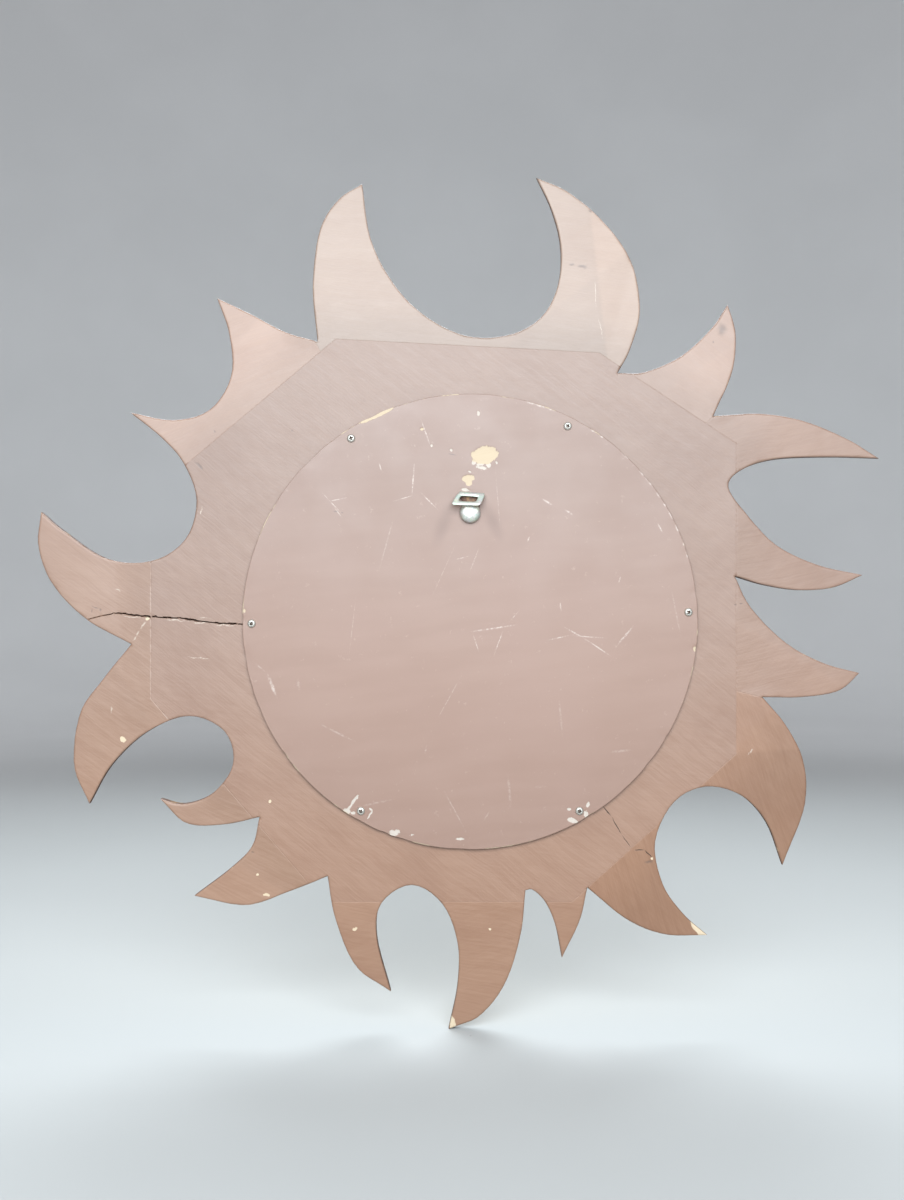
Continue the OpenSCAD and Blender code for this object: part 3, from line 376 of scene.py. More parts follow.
# The open glue joint through two boards, from the panel's edge outwards
CRACKED = ("sun_core", "ray_block_right")
CRACK = np.array([[178, -2.2], [200, -1.2], [214, 0.4], [228, 2.6], [244, 3.2], [262, 4.6],
                  [279, 6.9], [292, 4.6], [306, 1.0]], float)
CRACK_LINE = np.c_[CRACK[:-1], CRACK[1:]]
# Creases of planed facets: two points, the wood's slope to one side and its painted shade, how
# much lighter or darker the paint beyond is made for the light the facet catches
FACETS = {
    "ray_block_top": [((-94, 330), (-105, 230), -0.085, 0.16),
                      ((-101, 273), (-125, 292), -0.06, 0.06)],
    "ray_block_left": [((-200, 6), (-290, -48), -0.07, -0.05)],
    "ray_block_lower_left": [((-215, -103), (-262, -100), 0.045, -0.07)],
    "ray_block_right": [((318, 20), (262, -62), 0.03, -0.04)],
    "ray_block_upper_right": [((150, 262), (200, 205), -0.03, 0.05)],
    "ray_block_lower_right": [((215, -175), (165, -205), -0.03, -0.05)],
    "ray_block_upper_left": [((-175, 195), (-205, 215), -0.03, -0.04)],
}


def board_rims():
    """Each board's (points, joint flags, is a bore) loops, and the sun's outer edges."""
    found = {name: front_loops(name) for name in BOARDS}
    rims, outer = {}, []
    for name, loops in found.items():
        others = segments_of([lo for b, ls in found.items() if b != name for lo in ls])
        rims[name] = []
        for lo in loops:
            after = np.roll(lo, -1, 0)
            joint = distance((lo + after) / 2, others) < 0.05
            bore = np.linalg.norm(lo, axis=1).max() < OPENING_R + 1
            fixed = corner_flags(lo) | joint | np.roll(joint, 1)
            rims[name].append((*resampled(lo, fixed, joint | bore, OUTLINE_STEP), bore))
            if not bore:
                outer.append(np.c_[lo, after][~joint])
    return rims, np.concatenate(outer)


RIMS, OUTER_EDGES = board_rims()


def back_plane(name):
    """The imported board's back face as depth = a x + b z + c."""
    rows = {i for poly in frame["nodes"][name].data.polygons if poly.normal.y > 0.99
            for i in poly.vertices}
    co = points_of(name)[sorted(rows)]
    plan = np.c_[plan_of(co), np.ones(len(co))]
    return np.linalg.lstsq(plan, (BACK_Y - co[:, 1]) / MM, rcond=None)[0]


def crack_cut(points):
    """How deep the open joint cuts at each point."""
    wander = np.c_[wave_field(points, 9, 5), wave_field(points, 7, 6)] * 0.45
    away = distance(points + wander, CRACK_LINE)
    taper = 1 - smoothstep(262, 303, points[:, 0]) * 0.75
    half = (0.28 + 0.32 * wave_field(points, 17, 7)).clip(0.06, 0.7) * taper
    return 6.5 * taper * (1 - smoothstep(half * 0.5, half + 0.2, away))


def crack_points(step=1.1):
    rows = []
    for a, b in zip(CRACK[:-1], CRACK[1:]):
        run = np.linalg.norm(b - a)
        across = np.array([-(b - a)[1], (b - a)[0]]) / run
        for t in np.arange(0, 1, step / run):
            for gap in (-2.4, -1.5, -0.95, -0.5, 0, 0.5, 0.95, 1.5, 2.4):
                rows.append(a + (b - a) * t + across * gap)
    return np.array(rows)


def facets(name, points):
    """How far each point lies beyond each of a board's planed creases."""
    for (x0, z0), (x1, z1), slope, tone in FACETS.get(name, ()):
        run = math.hypot(x1 - x0, z1 - z0)
        left = ((x1 - x0) * (points[:, 1] - z0) - (z1 - z0) * (points[:, 0] - x0)) / run
        yield np.maximum(left if slope > 0 else -left, 0), abs(slope), tone


def back_depth(name, points, from_outer, from_joint):
    a, b, c = (0, 0, 0) if name == "sun_core" else back_plane(name)
    planed = np.maximum(a * points[:, 0] + b * points[:, 1] + c, 0)
    planed += sum(np.minimum(slope * beyond, FACET_DROP)
                  for beyond, slope, _ in facets(name, points))
    depth = np.minimum(planed, 0.06 * from_joint) + 0.25
    depth += 0.18 * wave_field(points, 70, 11) + 0.05 * wave_field(points, 16, 12)
    depth += eased(from_outer, EDGE_ROUND * (1 + 0.35 * wave_field(points, 24, 13)))
    depth += eased(from_joint, JOINT_ROUND)
    if name in CRACKED:
        depth += crack_cut(points)
    return np.maximum(depth, 0)


def front_depth(points, from_outer):
    """The carved face: flames fall from a ridge to a bordered, rounded edge."""
    t = np.clip(from_outer / 26, 0, 1)
    fall = 8.5 * (1 - t) ** 1.7
    border = 0.9 * np.exp(-((from_outer - 5) / 0.9) ** 2)
    gouges = 0.16 * wave_field(points, 14, 21) + 0.25 * wave_field(points, 40, 22)
    r = np.linalg.norm(points, axis=1)
    ring = 1.8 * np.exp(-((r - MOULDING_R - 7) / 2.2) ** 2)
    flat = smoothstep(MOULDING_R + 2, MOULDING_R + 14, r)
    return BOARD_T - (0.3 + (fall + border + gouges * t) * flat + ring + eased(from_outer, 1.5))


def painted_light_and_shade(name, points, from_joint):
    """Painted light and shade on the paint: each facet lighter or darker for the light it catches,
    and, near a ray block's joint, nearing the core's tone and painted top shade.
    """
    bright = np.ones(len(points))
    for beyond, _, tone in facets(name, points):
        bright += tone * smoothstep(0, 2.5, beyond)
    if name == "sun_core":
        return bright
    high = smoothstep(*TOP_SHADE_Z, AXIS.z + points[:, 1] * MM)
    core = np.mean(BOARDS["sun_core"]["tone"]) * (1 + (BOARDS["sun_core"]["high"] - 1) * high)
    near = 1 - smoothstep(0, 42, from_joint)
    return bright * (1 + 0.65 * (core / np.mean(BOARDS[name]["tone"]) - 1) * near)


def inset_rows(rims, gaps):
    """Points set in from the outline by each gap."""
    rows = []
    for points, _, bore in rims:
        if bore:
            continue
        along = np.roll(points, -1, 0) - np.roll(points, 1, 0)
        along /= np.maximum(np.linalg.norm(along, axis=1), 1e-9)[:, None]
        area = float((points[:, 0] * np.roll(points[:, 1], -1)
                      - points[:, 1] * np.roll(points[:, 0], -1)).sum())
        normal = np.c_[-along[:, 1], along[:, 0]] * (1 if area > 0 else -1)
        rows += [points + normal * g for g in gaps]
    return np.concatenate(rows)


def board(name, painted, gilt, sawn):
    """A carved board: planed, painted back, sawn sides and a carved, gilded front."""
    rims = RIMS[name]
    loops = [points for points, _, _ in rims]
    joints = [p for points, on_joint, _ in rims for p in points[on_joint]]
    rim = np.concatenate(loops)
    grid = hex_grid(rim.min(0), rim.max(0), GRID_STEP)
    from_edge, radius = distance(grid, OUTER_EDGES), np.linalg.norm(grid, axis=1)
    back = grid[(from_edge > 2.6) & (radius > PANEL_R - 4)]
    if name in CRACKED:
        back = np.concatenate([crack_points(), back[distance(back, CRACK_LINE) >= 3]])
    back = np.concatenate([back, inset_rows(rims, (0.3, 0.7, 1.2, 2.0))])
    front = np.concatenate([grid[(from_edge > 7.4) & (radius > MOULDING_R - 4)],
                            inset_rows(rims, (0.4, 0.9, 1.5, 2.6, 3.8, 4.5, 5.0, 5.5, 6.4))])
    verts, faces, marks, edge, seam, facet = [], [], [], [], [], []
    for side, extra in enumerate((back, front)):
        plan, tris = filled(loops, extra)
        from_outer, from_joint = distance(plan, OUTER_EDGES), distance(plan, np.c_[joints, joints])
        depth = front_depth(plan, from_outer) if side else back_depth(name, plan, from_outer,
                                                                      from_joint)
        first = len(verts)
        verts += [place(x, d, z) for (x, z), d in zip(plan, depth)]
        faces += [tuple(t + first) for t in tris]
        marks += [side] * len(tris)
        edge.extend(from_outer)
        seam.extend(np.where(plan[:, 0] > FILLED_JOINT_X, from_joint, 9))
        # each point's painted light and shade, stored for the paint
        facet.extend(painted_light_and_shade(name, plan, from_joint))
    faces += walls(loops, first)
    marks += [2] * len(rim)
    obj = new_mesh(name + "_carved", verts, faces, "case", [painted, gilt, sawn], "painted_wood",
                   name, 38)
    for poly, mark in zip(obj.data.polygons, marks):
        poly.material_index = mark
    store(obj, edge=edge, seam=seam, facet=facet)


# ---- materials ----
class Shader:
    """One material's node tree, with short calls for the nodes that the finishes share."""

    def __init__(self, name, **sockets):
        self.material = bpy.data.materials.new(name)
        self.material.use_nodes = True
        self.tree = self.material.node_tree
        self.bsdf = self.tree.nodes["Principled BSDF"]
        for key, value in sockets.items():
            self.bsdf.inputs[key.replace("_", " ")].default_value = value
        self.place = self.add("TexCoord").outputs["Object"]

    def add(self, kind, inputs=None, **settings):
        node = self.tree.nodes.new("ShaderNode" + kind)
        for key, value in settings.items():
            setattr(node, key, value)
        for key, value in (inputs or {}).items():
            self.set(node.inputs[key], value)
        return node

    def set(self, socket, value):
        if isinstance(value, bpy.types.NodeSocket):
            self.tree.links.new(value, socket)
        else:
            socket.default_value = value

    def math(self, operation, a, b=0.0, c=0.0):
        return self.add("Math", {0: a, 1: b, 2: c}, operation=operation).outputs[0]

    def times(self, a, b):
        return self.math("MULTIPLY", a, b)

    def plus(self, a, b, factor=1.0):
        """a and b times a factor, added."""
        return self.math("MULTIPLY_ADD", b, factor, a)

    def larger(self, a, b):
        return self.math("MAXIMUM", a, b)

    def vector(self, operation, a, b=(0, 0, 0)):
        return self.add("VectorMath", {0: a, 1: b}, operation=operation).outputs[0]

    def length(self, vector, kept):
        """A vector's length over the kept axes."""
        flat = self.vector("MULTIPLY", vector, kept)
        return self.add("VectorMath", {0: flat}, operation="LENGTH").outputs["Value"]

    def stored(self, name):
        return self.add("Attribute", attribute_name=name).outputs["Fac"]

    def noise(self, scale, detail=3.0, rough=0.55, where=None):
        node = self.add("TexNoise", {"Vector": where or self.place, "Scale": scale,
                                     "Detail": detail, "Roughness": rough})
        return node.outputs["Fac"]

    def strokes(self, turn, size, detail=3.0, rough=0.55, where=None):
        """Noise turned about Y by an angle and stretched to the given sizes."""
        node = self.add("Mapping", {"Vector": where or self.place, "Rotation": (0, turn, 0),
                                    "Scale": size}, vector_type="TEXTURE")
        return self.noise(1.0, detail, rough, node.outputs[0])

    def range(self, value, lo, hi, to_lo=0.0, to_hi=1.0):
        node = self.add("MapRange", {"Value": value, "From Min": lo, "From Max": hi,
                                     "To Min": to_lo, "To Max": to_hi},
                        interpolation_type="SMOOTHSTEP")
        return node.outputs["Result"]

    def mix(self, factor, a, b, blend="MIX"):
        node = self.add("Mix", data_type="RGBA", blend_type=blend)
        for socket, value in zip((node.inputs[0], node.inputs[6], node.inputs[7]), (factor, a, b)):
            self.set(socket, (*value, 1) if isinstance(value, tuple) else value)
        return node.outputs[2]

    def tinted(self, colour, tone):
        return self.mix(1.0, colour, tone, "MULTIPLY")

    def toned(self, colour, tone, start, full):
        """The colour times a tone that sets in from one height to another, in metres."""
        height = self.add("SeparateXYZ", {0: self.place}).outputs[2]
        return self.mix(self.range(height, start, full), colour, self.tinted(colour, tone))

    def warped(self, amount, scale):
        """Coordinates pushed about by a coarse noise."""
        node = self.add("TexNoise", {"Vector": self.place, "Scale": scale, "Detail": 3.0})
        push = self.vector("SUBTRACT", node.outputs["Color"], (0.5, 0.5, 0.5))
        return self.vector("ADD", self.place, self.vector("MULTIPLY", push, (amount,) * 3))

    def marks(self, rows, where):
        """Distance to the nearest mark, 1 at its rim. A row is (x, z, half length, half
        width, direction in degrees)."""
        nearest = None
        for x, z, half_l, half_w, turn in rows:
            spot = self.add("Mapping", {
                "Vector": where, "Location": place(x, 0, z),
                "Rotation": (0, -math.radians(turn), 0),
                "Scale": (half_l * MM, 1.0, half_w * MM)}, vector_type="TEXTURE").outputs[0]
            length = self.length(spot, (1, 0, 1))
            nearest = length if nearest is None else self.math("MINIMUM", nearest, length)
        return nearest

    def mark(self, name, ragged, amount):
        """A mesh's stored distance to its nearest mark, made uneven by a noise."""
        return self.plus(self.stored(name), self.math("SUBTRACT", ragged, 0.5), amount)

    def finish(self, colour, roughness, height, strength, depth, metallic=None):
        normal = self.add("Bump", {"Height": height, "Strength": strength,
                                   "Distance": depth}).outputs[0]
        for key, value in (("Base Color", colour), ("Roughness", roughness),
                           ("Normal", normal), ("Metallic", metallic)):
            if value is not None:
                self.set(self.bsdf.inputs[key], value)
        return self.material


PAINT = (0.222, 0.130, 0.093)
PAINT_LIGHT = (0.270, 0.170, 0.128)
# painted shadow colour, for the hanger's shadows on the panel
PAINTED_SHADOW = (0.105, 0.055, 0.038)
SMEAR = (0.075, 0.048, 0.040)
PRIMER = (0.38, 0.285, 0.24)
BARE_WOOD = (0.43, 0.34, 0.24)
WORN_WOOD = (0.34, 0.21, 0.10)
CRACK_DARK = (0.020, 0.010, 0.007)


def painted_wood(name, turn, tone, high=1.0, chips=(), pale=(), dark=(), cracks=()):
    """Brush-painted softwood: fine strokes, knocks down to bare wood, smears; with painted sheen
    and shade in part of its tone, a warmer bottom, a darker top where asked and a tint by facet.
    """
    s = Shader("painted_" + name, IOR=1.5, Specular_IOR_Level=0.62)
    wander, ragged, angle = s.warped(0.010, 14), s.warped(0.0040, 210), -math.radians(turn)
    fine = s.strokes(angle, (0.030, 0.02, 0.0013), 2.5, 0.6, wander)
    crossed = s.strokes(angle + 0.5, (0.022, 0.02, 0.0016), 2.0, 0.6, wander)
    broad = s.strokes(angle + 0.1, (0.070, 0.05, 0.012), 3.0, 0.6, wander)
    streak = s.plus(s.times(fine, 0.7), crossed, 0.3)
    body = s.mix(s.range(streak, 0.36, 0.66, 0.0, 0.50), PAINT, PAINT_LIGHT)
    body = s.mix(s.range(broad, 0.40, 0.70, 0.0, 0.30), body, PAINT_LIGHT)
    body = s.mix(s.range(s.noise(16, 4.0), 0.42, 0.72, 0.0, 0.35), body, (0.190, 0.105, 0.074))
    # painted shade: the tone carries painted sheen and shade, and the paint grows warmer and less
    # blue towards the bottom, where the sheen would be weaker
    body = s.toned(s.tinted(body, tone), (1.10, 1.0, 0.88), -0.06, -0.34)
    # painted shade: darker towards the top by the factor high, and each facet lighter or darker by
    # its stored painted light and shade
    body = s.tinted(s.toned(body, (high, high, high), *TOP_SHADE_Z), s.stored("facet"))
    rough_spots = s.noise(120, 4.0, 0.6)
    built_up = s.times(s.range(s.stored("seam"), 0.1, 0.9, 0.35, 0.0),
                       s.range(rough_spots, 0.40, 0.60))
    colour = s.mix(built_up, body, PRIMER)
    wood = s.mix(s.strokes(angle, (0.05, 0.02, 0.0016)), WORN_WOOD, BARE_WOOD)
    worn = s.times(s.range(s.stored("edge"), 0.1, 0.9, 1.0, 0.0),
                   s.range(rough_spots, 0.640, 0.69))
    colour = s.mix(worn, colour, wood)
    if chips:
        chip = s.range(s.marks(chips, ragged), 0.92, 1.06, 1.0, 0.0)
        colour = s.mix(chip, colour, s.mix(0.5, wood, (0.62, 0.52, 0.38)))
        worn = s.larger(worn, chip)
    if pale:
        lost = s.times(s.range(s.marks(pale, ragged), 0.35, 1.0, 1.0, 0.0),
                       s.range(s.noise(480), 0.36, 0.56, 0.15, 0.8))
        colour = s.mix(lost, colour, (0.40, 0.32, 0.26))
    height = s.plus(s.plus(streak, s.noise(330, 2.0, 0.5), 0.10), worn, -0.8)
    if dark:
        smear = s.range(s.marks(dark, ragged), 0.10, 1.1, 0.60, 0.0)
        colour = s.mix(smear, colour, SMEAR)
        height = s.plus(height, smear, -0.6)
    rough = s.mix(worn, s.range(streak, 0.3, 0.7, 0.43, 0.51), (0.75, 0.75, 0.75))
    if cracks:
        split = s.range(s.marks(cracks, s.warped(0.0012, 300)), 0.5, 1.0, 0.9, 0.0)
        colour = s.mix(split, colour, CRACK_DARK)
        height = s.plus(height, split, -2.0)
        rough = s.mix(split, rough, (0.95, 0.95, 0.95))
    return s.finish(colour, rough, height, 0.30, 0.0004)


def sawn_shaded_sides():
    """The boards' sides: sawn, brushed with the same paint, painted darker as shade."""
    s = Shader("painted_sides_shaded", IOR=1.5, Specular_IOR_Level=0.15)
    teeth, cloud = s.strokes(0.0, (0.012, 0.0016, 0.012), 3.0, 0.6), s.noise(60, 4.0, 0.6)
    # painted shade: the same paint at about half its brightness on the back
    colour = s.mix(s.range(teeth, 0.35, 0.68), (0.085, 0.048, 0.036), (0.135, 0.082, 0.062))
    colour = s.mix(s.range(cloud, 0.60, 0.68, 0.0, 0.6), colour, WORN_WOOD)
    return s.finish(colour, s.range(cloud, 0.3, 0.7, 0.75, 0.9), teeth, 0.5, 0.0005)


def painted_panel():
    """Smooth paint on a thin round board, scratched, chipped and flaked, with painted shade towards
    its top and painted shadows under the hanger.
    """
    s = Shader("painted_panel", IOR=1.5, Specular_IOR_Level=0.62)
    level = s.strokes(0.12, (0.10, 0.05, 0.016), 3.0, 0.5, s.warped(0.02, 9))
    cloud, ragged, torn = s.noise(9, 4.0, 0.5), s.noise(230, 4.0, 0.7), s.noise(620, 3.0, 0.6)
    body = s.mix(s.range(level, 0.3, 0.75), (0.222, 0.134, 0.101), (0.236, 0.146, 0.112))
    body = s.mix(s.range(cloud, 0.42, 0.68, 0.0, 0.45), body, (0.242, 0.150, 0.118))
    # painted shade: the panel darker towards the top
    body = s.toned(body, (0.80, 0.80, 0.80), *TOP_SHADE_Z)
    body = s.mix(s.range(s.noise(170, 5.0, 0.75), 0.62, 0.70, 0.0, 0.22), body, PRIMER)
    faint = s.range(s.mark("faint", ragged, 1.6), 0.1, 1.2, 0.42, 0.0)
    clear = s.range(s.mark("scratch", ragged, 1.3), 0.2, 1.15, 0.92, 0.0)
    scratch = s.times(s.larger(faint, clear), s.range(torn, 0.40, 0.58, 0.15, 1.0))
    colour = s.mix(scratch, body, (0.38, 0.30, 0.26))
    white = s.range(s.mark("flake", ragged, 2.2), 0.85, 1.05, 1.0, 0.0)
    colour = s.mix(white, colour, s.mix(torn, (0.47, 0.41, 0.36), (0.35, 0.30, 0.255)))
    rim_wear = s.times(s.range(s.stored("edge"), 0.35, 1.0, 1.0, 0.0),
                       s.range(s.noise(34, 4.0, 0.65), 0.54, 0.62))
    chip = s.larger(s.range(s.mark("chip", ragged, 0.9), 0.93, 1.03, 1.0, 0.0), rim_wear)
    wood = s.mix(s.strokes(0.3, (0.02, 0.02, 0.0014)), (0.38, 0.295, 0.20), BARE_WOOD)
    colour = s.mix(chip, colour, wood)
    colour = s.mix(s.range(s.mark("dark", ragged, 0.9), 0.3, 1.0, 0.55, 0.0), colour, SMEAR)
    # painted shadows that the hanger's tab casts downwards on the panel
    colour = s.mix(s.range(s.mark("hanger_shadow", cloud, 0.5), 0.0, 1.15, 0.42, 0.0), colour, PAINTED_SHADOW)
    lost = s.larger(chip, white)
    height = s.plus(s.times(level, 0.5), s.noise(700, 2.0, 0.5), 0.12)
    height = s.plus(s.plus(height, lost, -1.4), scratch, -0.4)
    rough = s.mix(lost, s.range(s.noise(22, 4.0), 0.3, 0.7, 0.43, 0.50), (0.8, 0.8, 0.8))
    return s.finish(colour, rough, height, 0.30, 0.0004)


def gilt_wood():
    """Old gold leaf over red bole: rubbed on the edges, dirty in the hollows."""
    s = Shader("gilt_wood", IOR=1.45)
    edge, cloud = s.stored("edge"), s.noise(30, 5.0, 0.6)
    leaf = s.noise(9, 2.0, 0.5, s.warped(0.004, 40))
    gold = s.mix(s.range(cloud, 0.35, 0.68), (0.56, 0.35, 0.105), (0.74, 0.50, 0.19))
    gold = s.mix(s.range(leaf, 0.46, 0.52, 0.0, 0.35), gold, (0.82, 0.59, 0.26))
    dirt = s.range(s.noise(75, 5.0, 0.65), 0.50, 0.72, 0.0, 0.75)
    gold = s.mix(dirt, gold, (0.30, 0.17, 0.06))
    groove = s.times(s.range(edge, 3.6, 5.0), s.range(edge, 5.0, 6.4, 1.0, 0.0))
    gold = s.mix(s.times(groove, 0.8), gold, (0.16, 0.075, 0.03))
    rubbed = s.times(s.range(edge, 0.2, 1.8, 1.0, 0.0), s.range(s.noise(70, 4.0, 0.6), 0.44, 0.56))
    bole = s.larger(rubbed, s.range(s.noise(46, 5.0, 0.7), 0.66, 0.70))
    rough = s.mix(bole, s.range(cloud, 0.3, 0.7, 0.30, 0.48), (0.6, 0.6, 0.6))
    height = s.plus(s.plus(cloud, s.noise(420, 4.0, 0.6), 0.5), bole, -0.5)
    return s.finish(s.mix(bole, gold, (0.33, 0.075, 0.035)), rough, height, 0.35, 0.0006,
                    s.plus(0.95, s.larger(bole, dirt), -0.7))


def metal(name, colour, dull, rough, tarnish, scale, lines=None):
    """Handled metal: cloudy tarnish, fine scratches, recesses dulled with grime and painted near
    black as shade and, where asked, turning lines."""
    s = Shader(name)
    cloud, recess = s.noise(scale, 5.0, 0.6), s.stored("recess")
    grime = s.range(s.noise(scale * 2.3, 4.0, 0.65), 0.52, 0.75, 0.0, tarnish)
    grime = s.larger(grime, recess)
    base = s.mix(s.range(cloud, 0.35, 0.68), colour, tuple(0.86 * c for c in colour))
    # painted shade: the stored recess is painted near black
    base = s.mix(s.times(recess, 0.8), s.mix(grime, base, dull), (0.03, 0.02, 0.015))
    height = s.times(s.plus(cloud, s.strokes(0.5, (0.012, 0.004, 0.0004))), 0.5)
    if lines:
        radius = s.length(s.vector("SUBTRACT", s.place, AXIS), (1, 0, 1))
        height = s.plus(height, s.math("SINE", s.times(radius, lines)), 0.25)
    shine = s.plus(s.range(cloud, 0.3, 0.7, rough, rough + 0.14), grime, 0.35)
    return s.finish(base, shine, height, 0.12, 0.0002, s.plus(1.0, grime, -0.5))


def zinc():
    """Bright zinc plate with grey-green bloom."""
    s = Shader("zinc")
    flake = s.add("TexVoronoi", {"Vector": s.place, "Scale": 420.0}).outputs["Color"]
    cloud = s.noise(210, 5.0, 0.65)
    base = s.mix(0.08, (0.63, 0.64, 0.58), flake)
    base = s.mix(s.range(cloud, 0.40, 0.66, 0.0, 0.7), base, (0.34, 0.385, 0.34))
    pits = s.range(s.noise(900, 3.0, 0.6), 0.62, 0.70, 0.0, 0.5)
    return s.finish(s.mix(pits, base, (0.22, 0.21, 0.17)), s.range(cloud, 0.3, 0.7, 0.52, 0.66),
                    s.plus(cloud, pits), 0.25, 0.0002, s.range(cloud, 0.45, 0.75, 1.0, 0.75))


def enamel(name, colour, stain, rough, crazed):
    """Fired enamel, a little stained, with hairline crazing."""
    s = Shader(name, Coat_Weight=0.6, Coat_Roughness=0.06)
    cloud = s.noise(22, 5.0, 0.6)
    veins = s.add("TexVoronoi", {"Vector": s.warped(0.006, 60), "Scale": 60.0},
                  feature="DISTANCE_TO_EDGE").outputs["Distance"]
    hair = s.times(s.range(veins, 0.0, 0.012, 1.0, 0.0),
                   s.range(s.noise(14), 0.52, 0.60, 0.0, crazed))
    base = s.mix(s.range(cloud, 0.42, 0.72, 0.0, 0.7), colour, stain)
    base = s.mix(hair, base, tuple(0.35 * c for c in stain))
    return s.finish(base, s.range(cloud, 0.3, 0.7, rough, rough + 0.12),
                    s.plus(s.times(cloud, 0.6), hair, -1.0), 0.06, 0.0003)


def glass():
    s = Shader("clear_glass", Roughness=0.02, IOR=1.45, Transmission_Weight=1.0)
    haze = s.mix(s.noise(35, 4.0), (0.97, 0.99, 0.98), (0.93, 0.97, 0.95))
    return s.finish(haze, None, s.noise(20, 2.0), 0.02, 0.0005)


# ---- wear, and painted shadows under the hanger, on the back panel, as rows of ----
# (x, z, half length, half width, direction) ----
RIM_WORN = np.radians([105.5, 108, 111, 123, 125.5, 133, 139, 142, 146, 149, 152, 156, 160, 163])
PANEL_MARKS = {
    "scratch": [((PANEL_R - 0.9) * math.cos(a), (PANEL_R - 0.9) * math.sin(a),
                 3.4 + 1.6 * math.sin(31 * a), 0.9, math.degrees(a) + 90) for a in RIM_WORN] + [
        stroke(*row) for row in (
            (0, -8, -39, -2, 1.7), (-39, 9, -31, 0, 0.9), (-2, -9, -7, -24, 1.1),
            (-26, -7, -19, -26, 1.2), (-72, -3, -92, -14, 1.3), (-90, -13, -111, -27, 1.3),
            (-59, -15, -82, -10, 1.1), (-81, -11, -109, -13, 1.1), (-129, -3, -115, -20, 2.0),
            (39, 160, 31, 138, 1.3), (40, 103, 25, 88, 1.1), (-57, 97, -65, 92, 1.7),
            (-74, 89, -82, 84, 1.7), (-7, 58, 0, 40, 1.2), (12, 49, 0, 52, 0.9),
            (-148, 78, -152, 70, 1.5), (-71, 16, -72, 8, 1.3), (72, 126, 70, 119, 1.3),
            (44, 126, 46, 98, 1.3), (61, 95, 44, 100, 1.0), (160, -41, 152, -61, 3.2),
            (118, 103, 100, 84, 0.9), (112, 95, 97, 98, 0.9), (107, 90, 101, 82, 1.2),
            (-47, 67, -45, 63, 1.5), (-119, 36, -117, 30, 1.4))],
    "faint": [stroke(*row) for row in (
        (61, 80, 72, 40, 1.3), (-159, 25, -166, -10, 1.4), (173, -30, 161, -40, 1.6),
        (7, -43, 26, -77, 1.2), (36, -105, 34, -97, 1.6), (22, -131, 3, -166, 1.4),
        (-15, -150, -11, -157, 1.4), (-110, -103, -128, -101, 2.4), (-50, -131, -59, -130, 2.2),
        (136, -45, 135, -54, 3.0), (30, 20, 12, 60, 0.8), (-70, -60, -73, -90, 2.0),
        (120, -80, 90, -95, 1.8), (60, -140, 88, -146, 1.8), (-20, 120, -24, 70, 0.9),
        (-30, -120, -32, -146, 2.6), (90, 20, 96, -30, 0.9))],
    "flake": [
        (-9.0, 121.5, 4.6, 1.4, 10), (-3.0, 125.5, 1.6, 2.4, 25), (-14.5, 124, 1.8, 3.0, -30),
        (-8.0, 124.2, 3.2, 1.3, -14), (14.9, 135.4, 1.4, 1.3, 0), (-6.5, 164.5, 1.2, 2.0, 0),
        (-21, 125.5, 1.3, 0.9, 60),
        stroke(97, -150, 89.5, -137.5, 2.6), stroke(88, -136, 91, -141, 2.4),
        (97.5, -149.5, 3.0, 2.2, 30), (92, -151, 2.0, 1.4, 0), stroke(82, -158, 77, -149, 1.8),
        stroke(77, -149, 80, -147, 1.6), (59.7, -166.3, 5.0, 2.6, -8), (46.6, -168.5, 2.6, 0.8, -4),
        (8.5, -171.5, 3.6, 1.0, 0), (-78, -148, 1.6, 1.2, 0), (-93, -144.5, 1.3, 3.0, 20),
        (-80, -156.8, 4.4, 2.0, 24), (-91.5, -152, 2.6, 1.8, 50), (-84.5, -158.5, 3.0, 1.2, 30),
        (3.5, 104, 5.0, 1.2, 10), (30.5, 139, 0.9, 1.1, 0), (0.5, 118.5, 1.4, 0.8, 30)],
    "chip": [
        (-11.5, 131.5, 10.6, 7.0, -8), (1.5, 113, 4.9, 3.0, -12), (1.0, 109.5, 2.6, 2.4, 0),
        (74, 162.6, 15, 1.6, -24), (81, 159.6, 6.0, 1.7, -27), (65, 167, 5, 1.6, -20),
        (-177.5, -21.5, 1.5, 2.0, 0), (178, 8.5, 1.0, 1.6, 0), (38, 152, 1.4, 1.2, 0)],
    "dark": [(106, 87, 2.6, 0.8, 0), (-136.5, 120.5, 1.6, 1.4, 0), (14, 132, 5.0, 0.7, 12),
             (101, 86, 1.2, 0.7, 0)],
    # painted shadows that the hanger's tab casts downwards, and one beneath the bolt's dome
    "hanger_shadow": [stroke(13, 98, 29, 56, 15), stroke(-10, 98, -26, 60, 15), (0.5, 80, 9, 5, 0)],
}


# ---- the back panel and its fixings ----
def turned_by(points, degrees):
    """Plan points in axes turned by an angle."""
    c, s = math.cos(math.radians(degrees)), math.sin(math.radians(degrees))
    return points @ np.array([[c, -s], [s, c]])


def nearest_mark(points, rows, reach=3.0):
    """Distance to the nearest mark, 1 at its rim."""
    nearest = np.full(len(points), reach)
    for x, z, half_l, half_w, turn in rows:
        away = turned_by(points - (x, z), turn) / (half_l, half_w)
        nearest = np.minimum(nearest, np.hypot(away[:, 0], away[:, 1]))
    return nearest


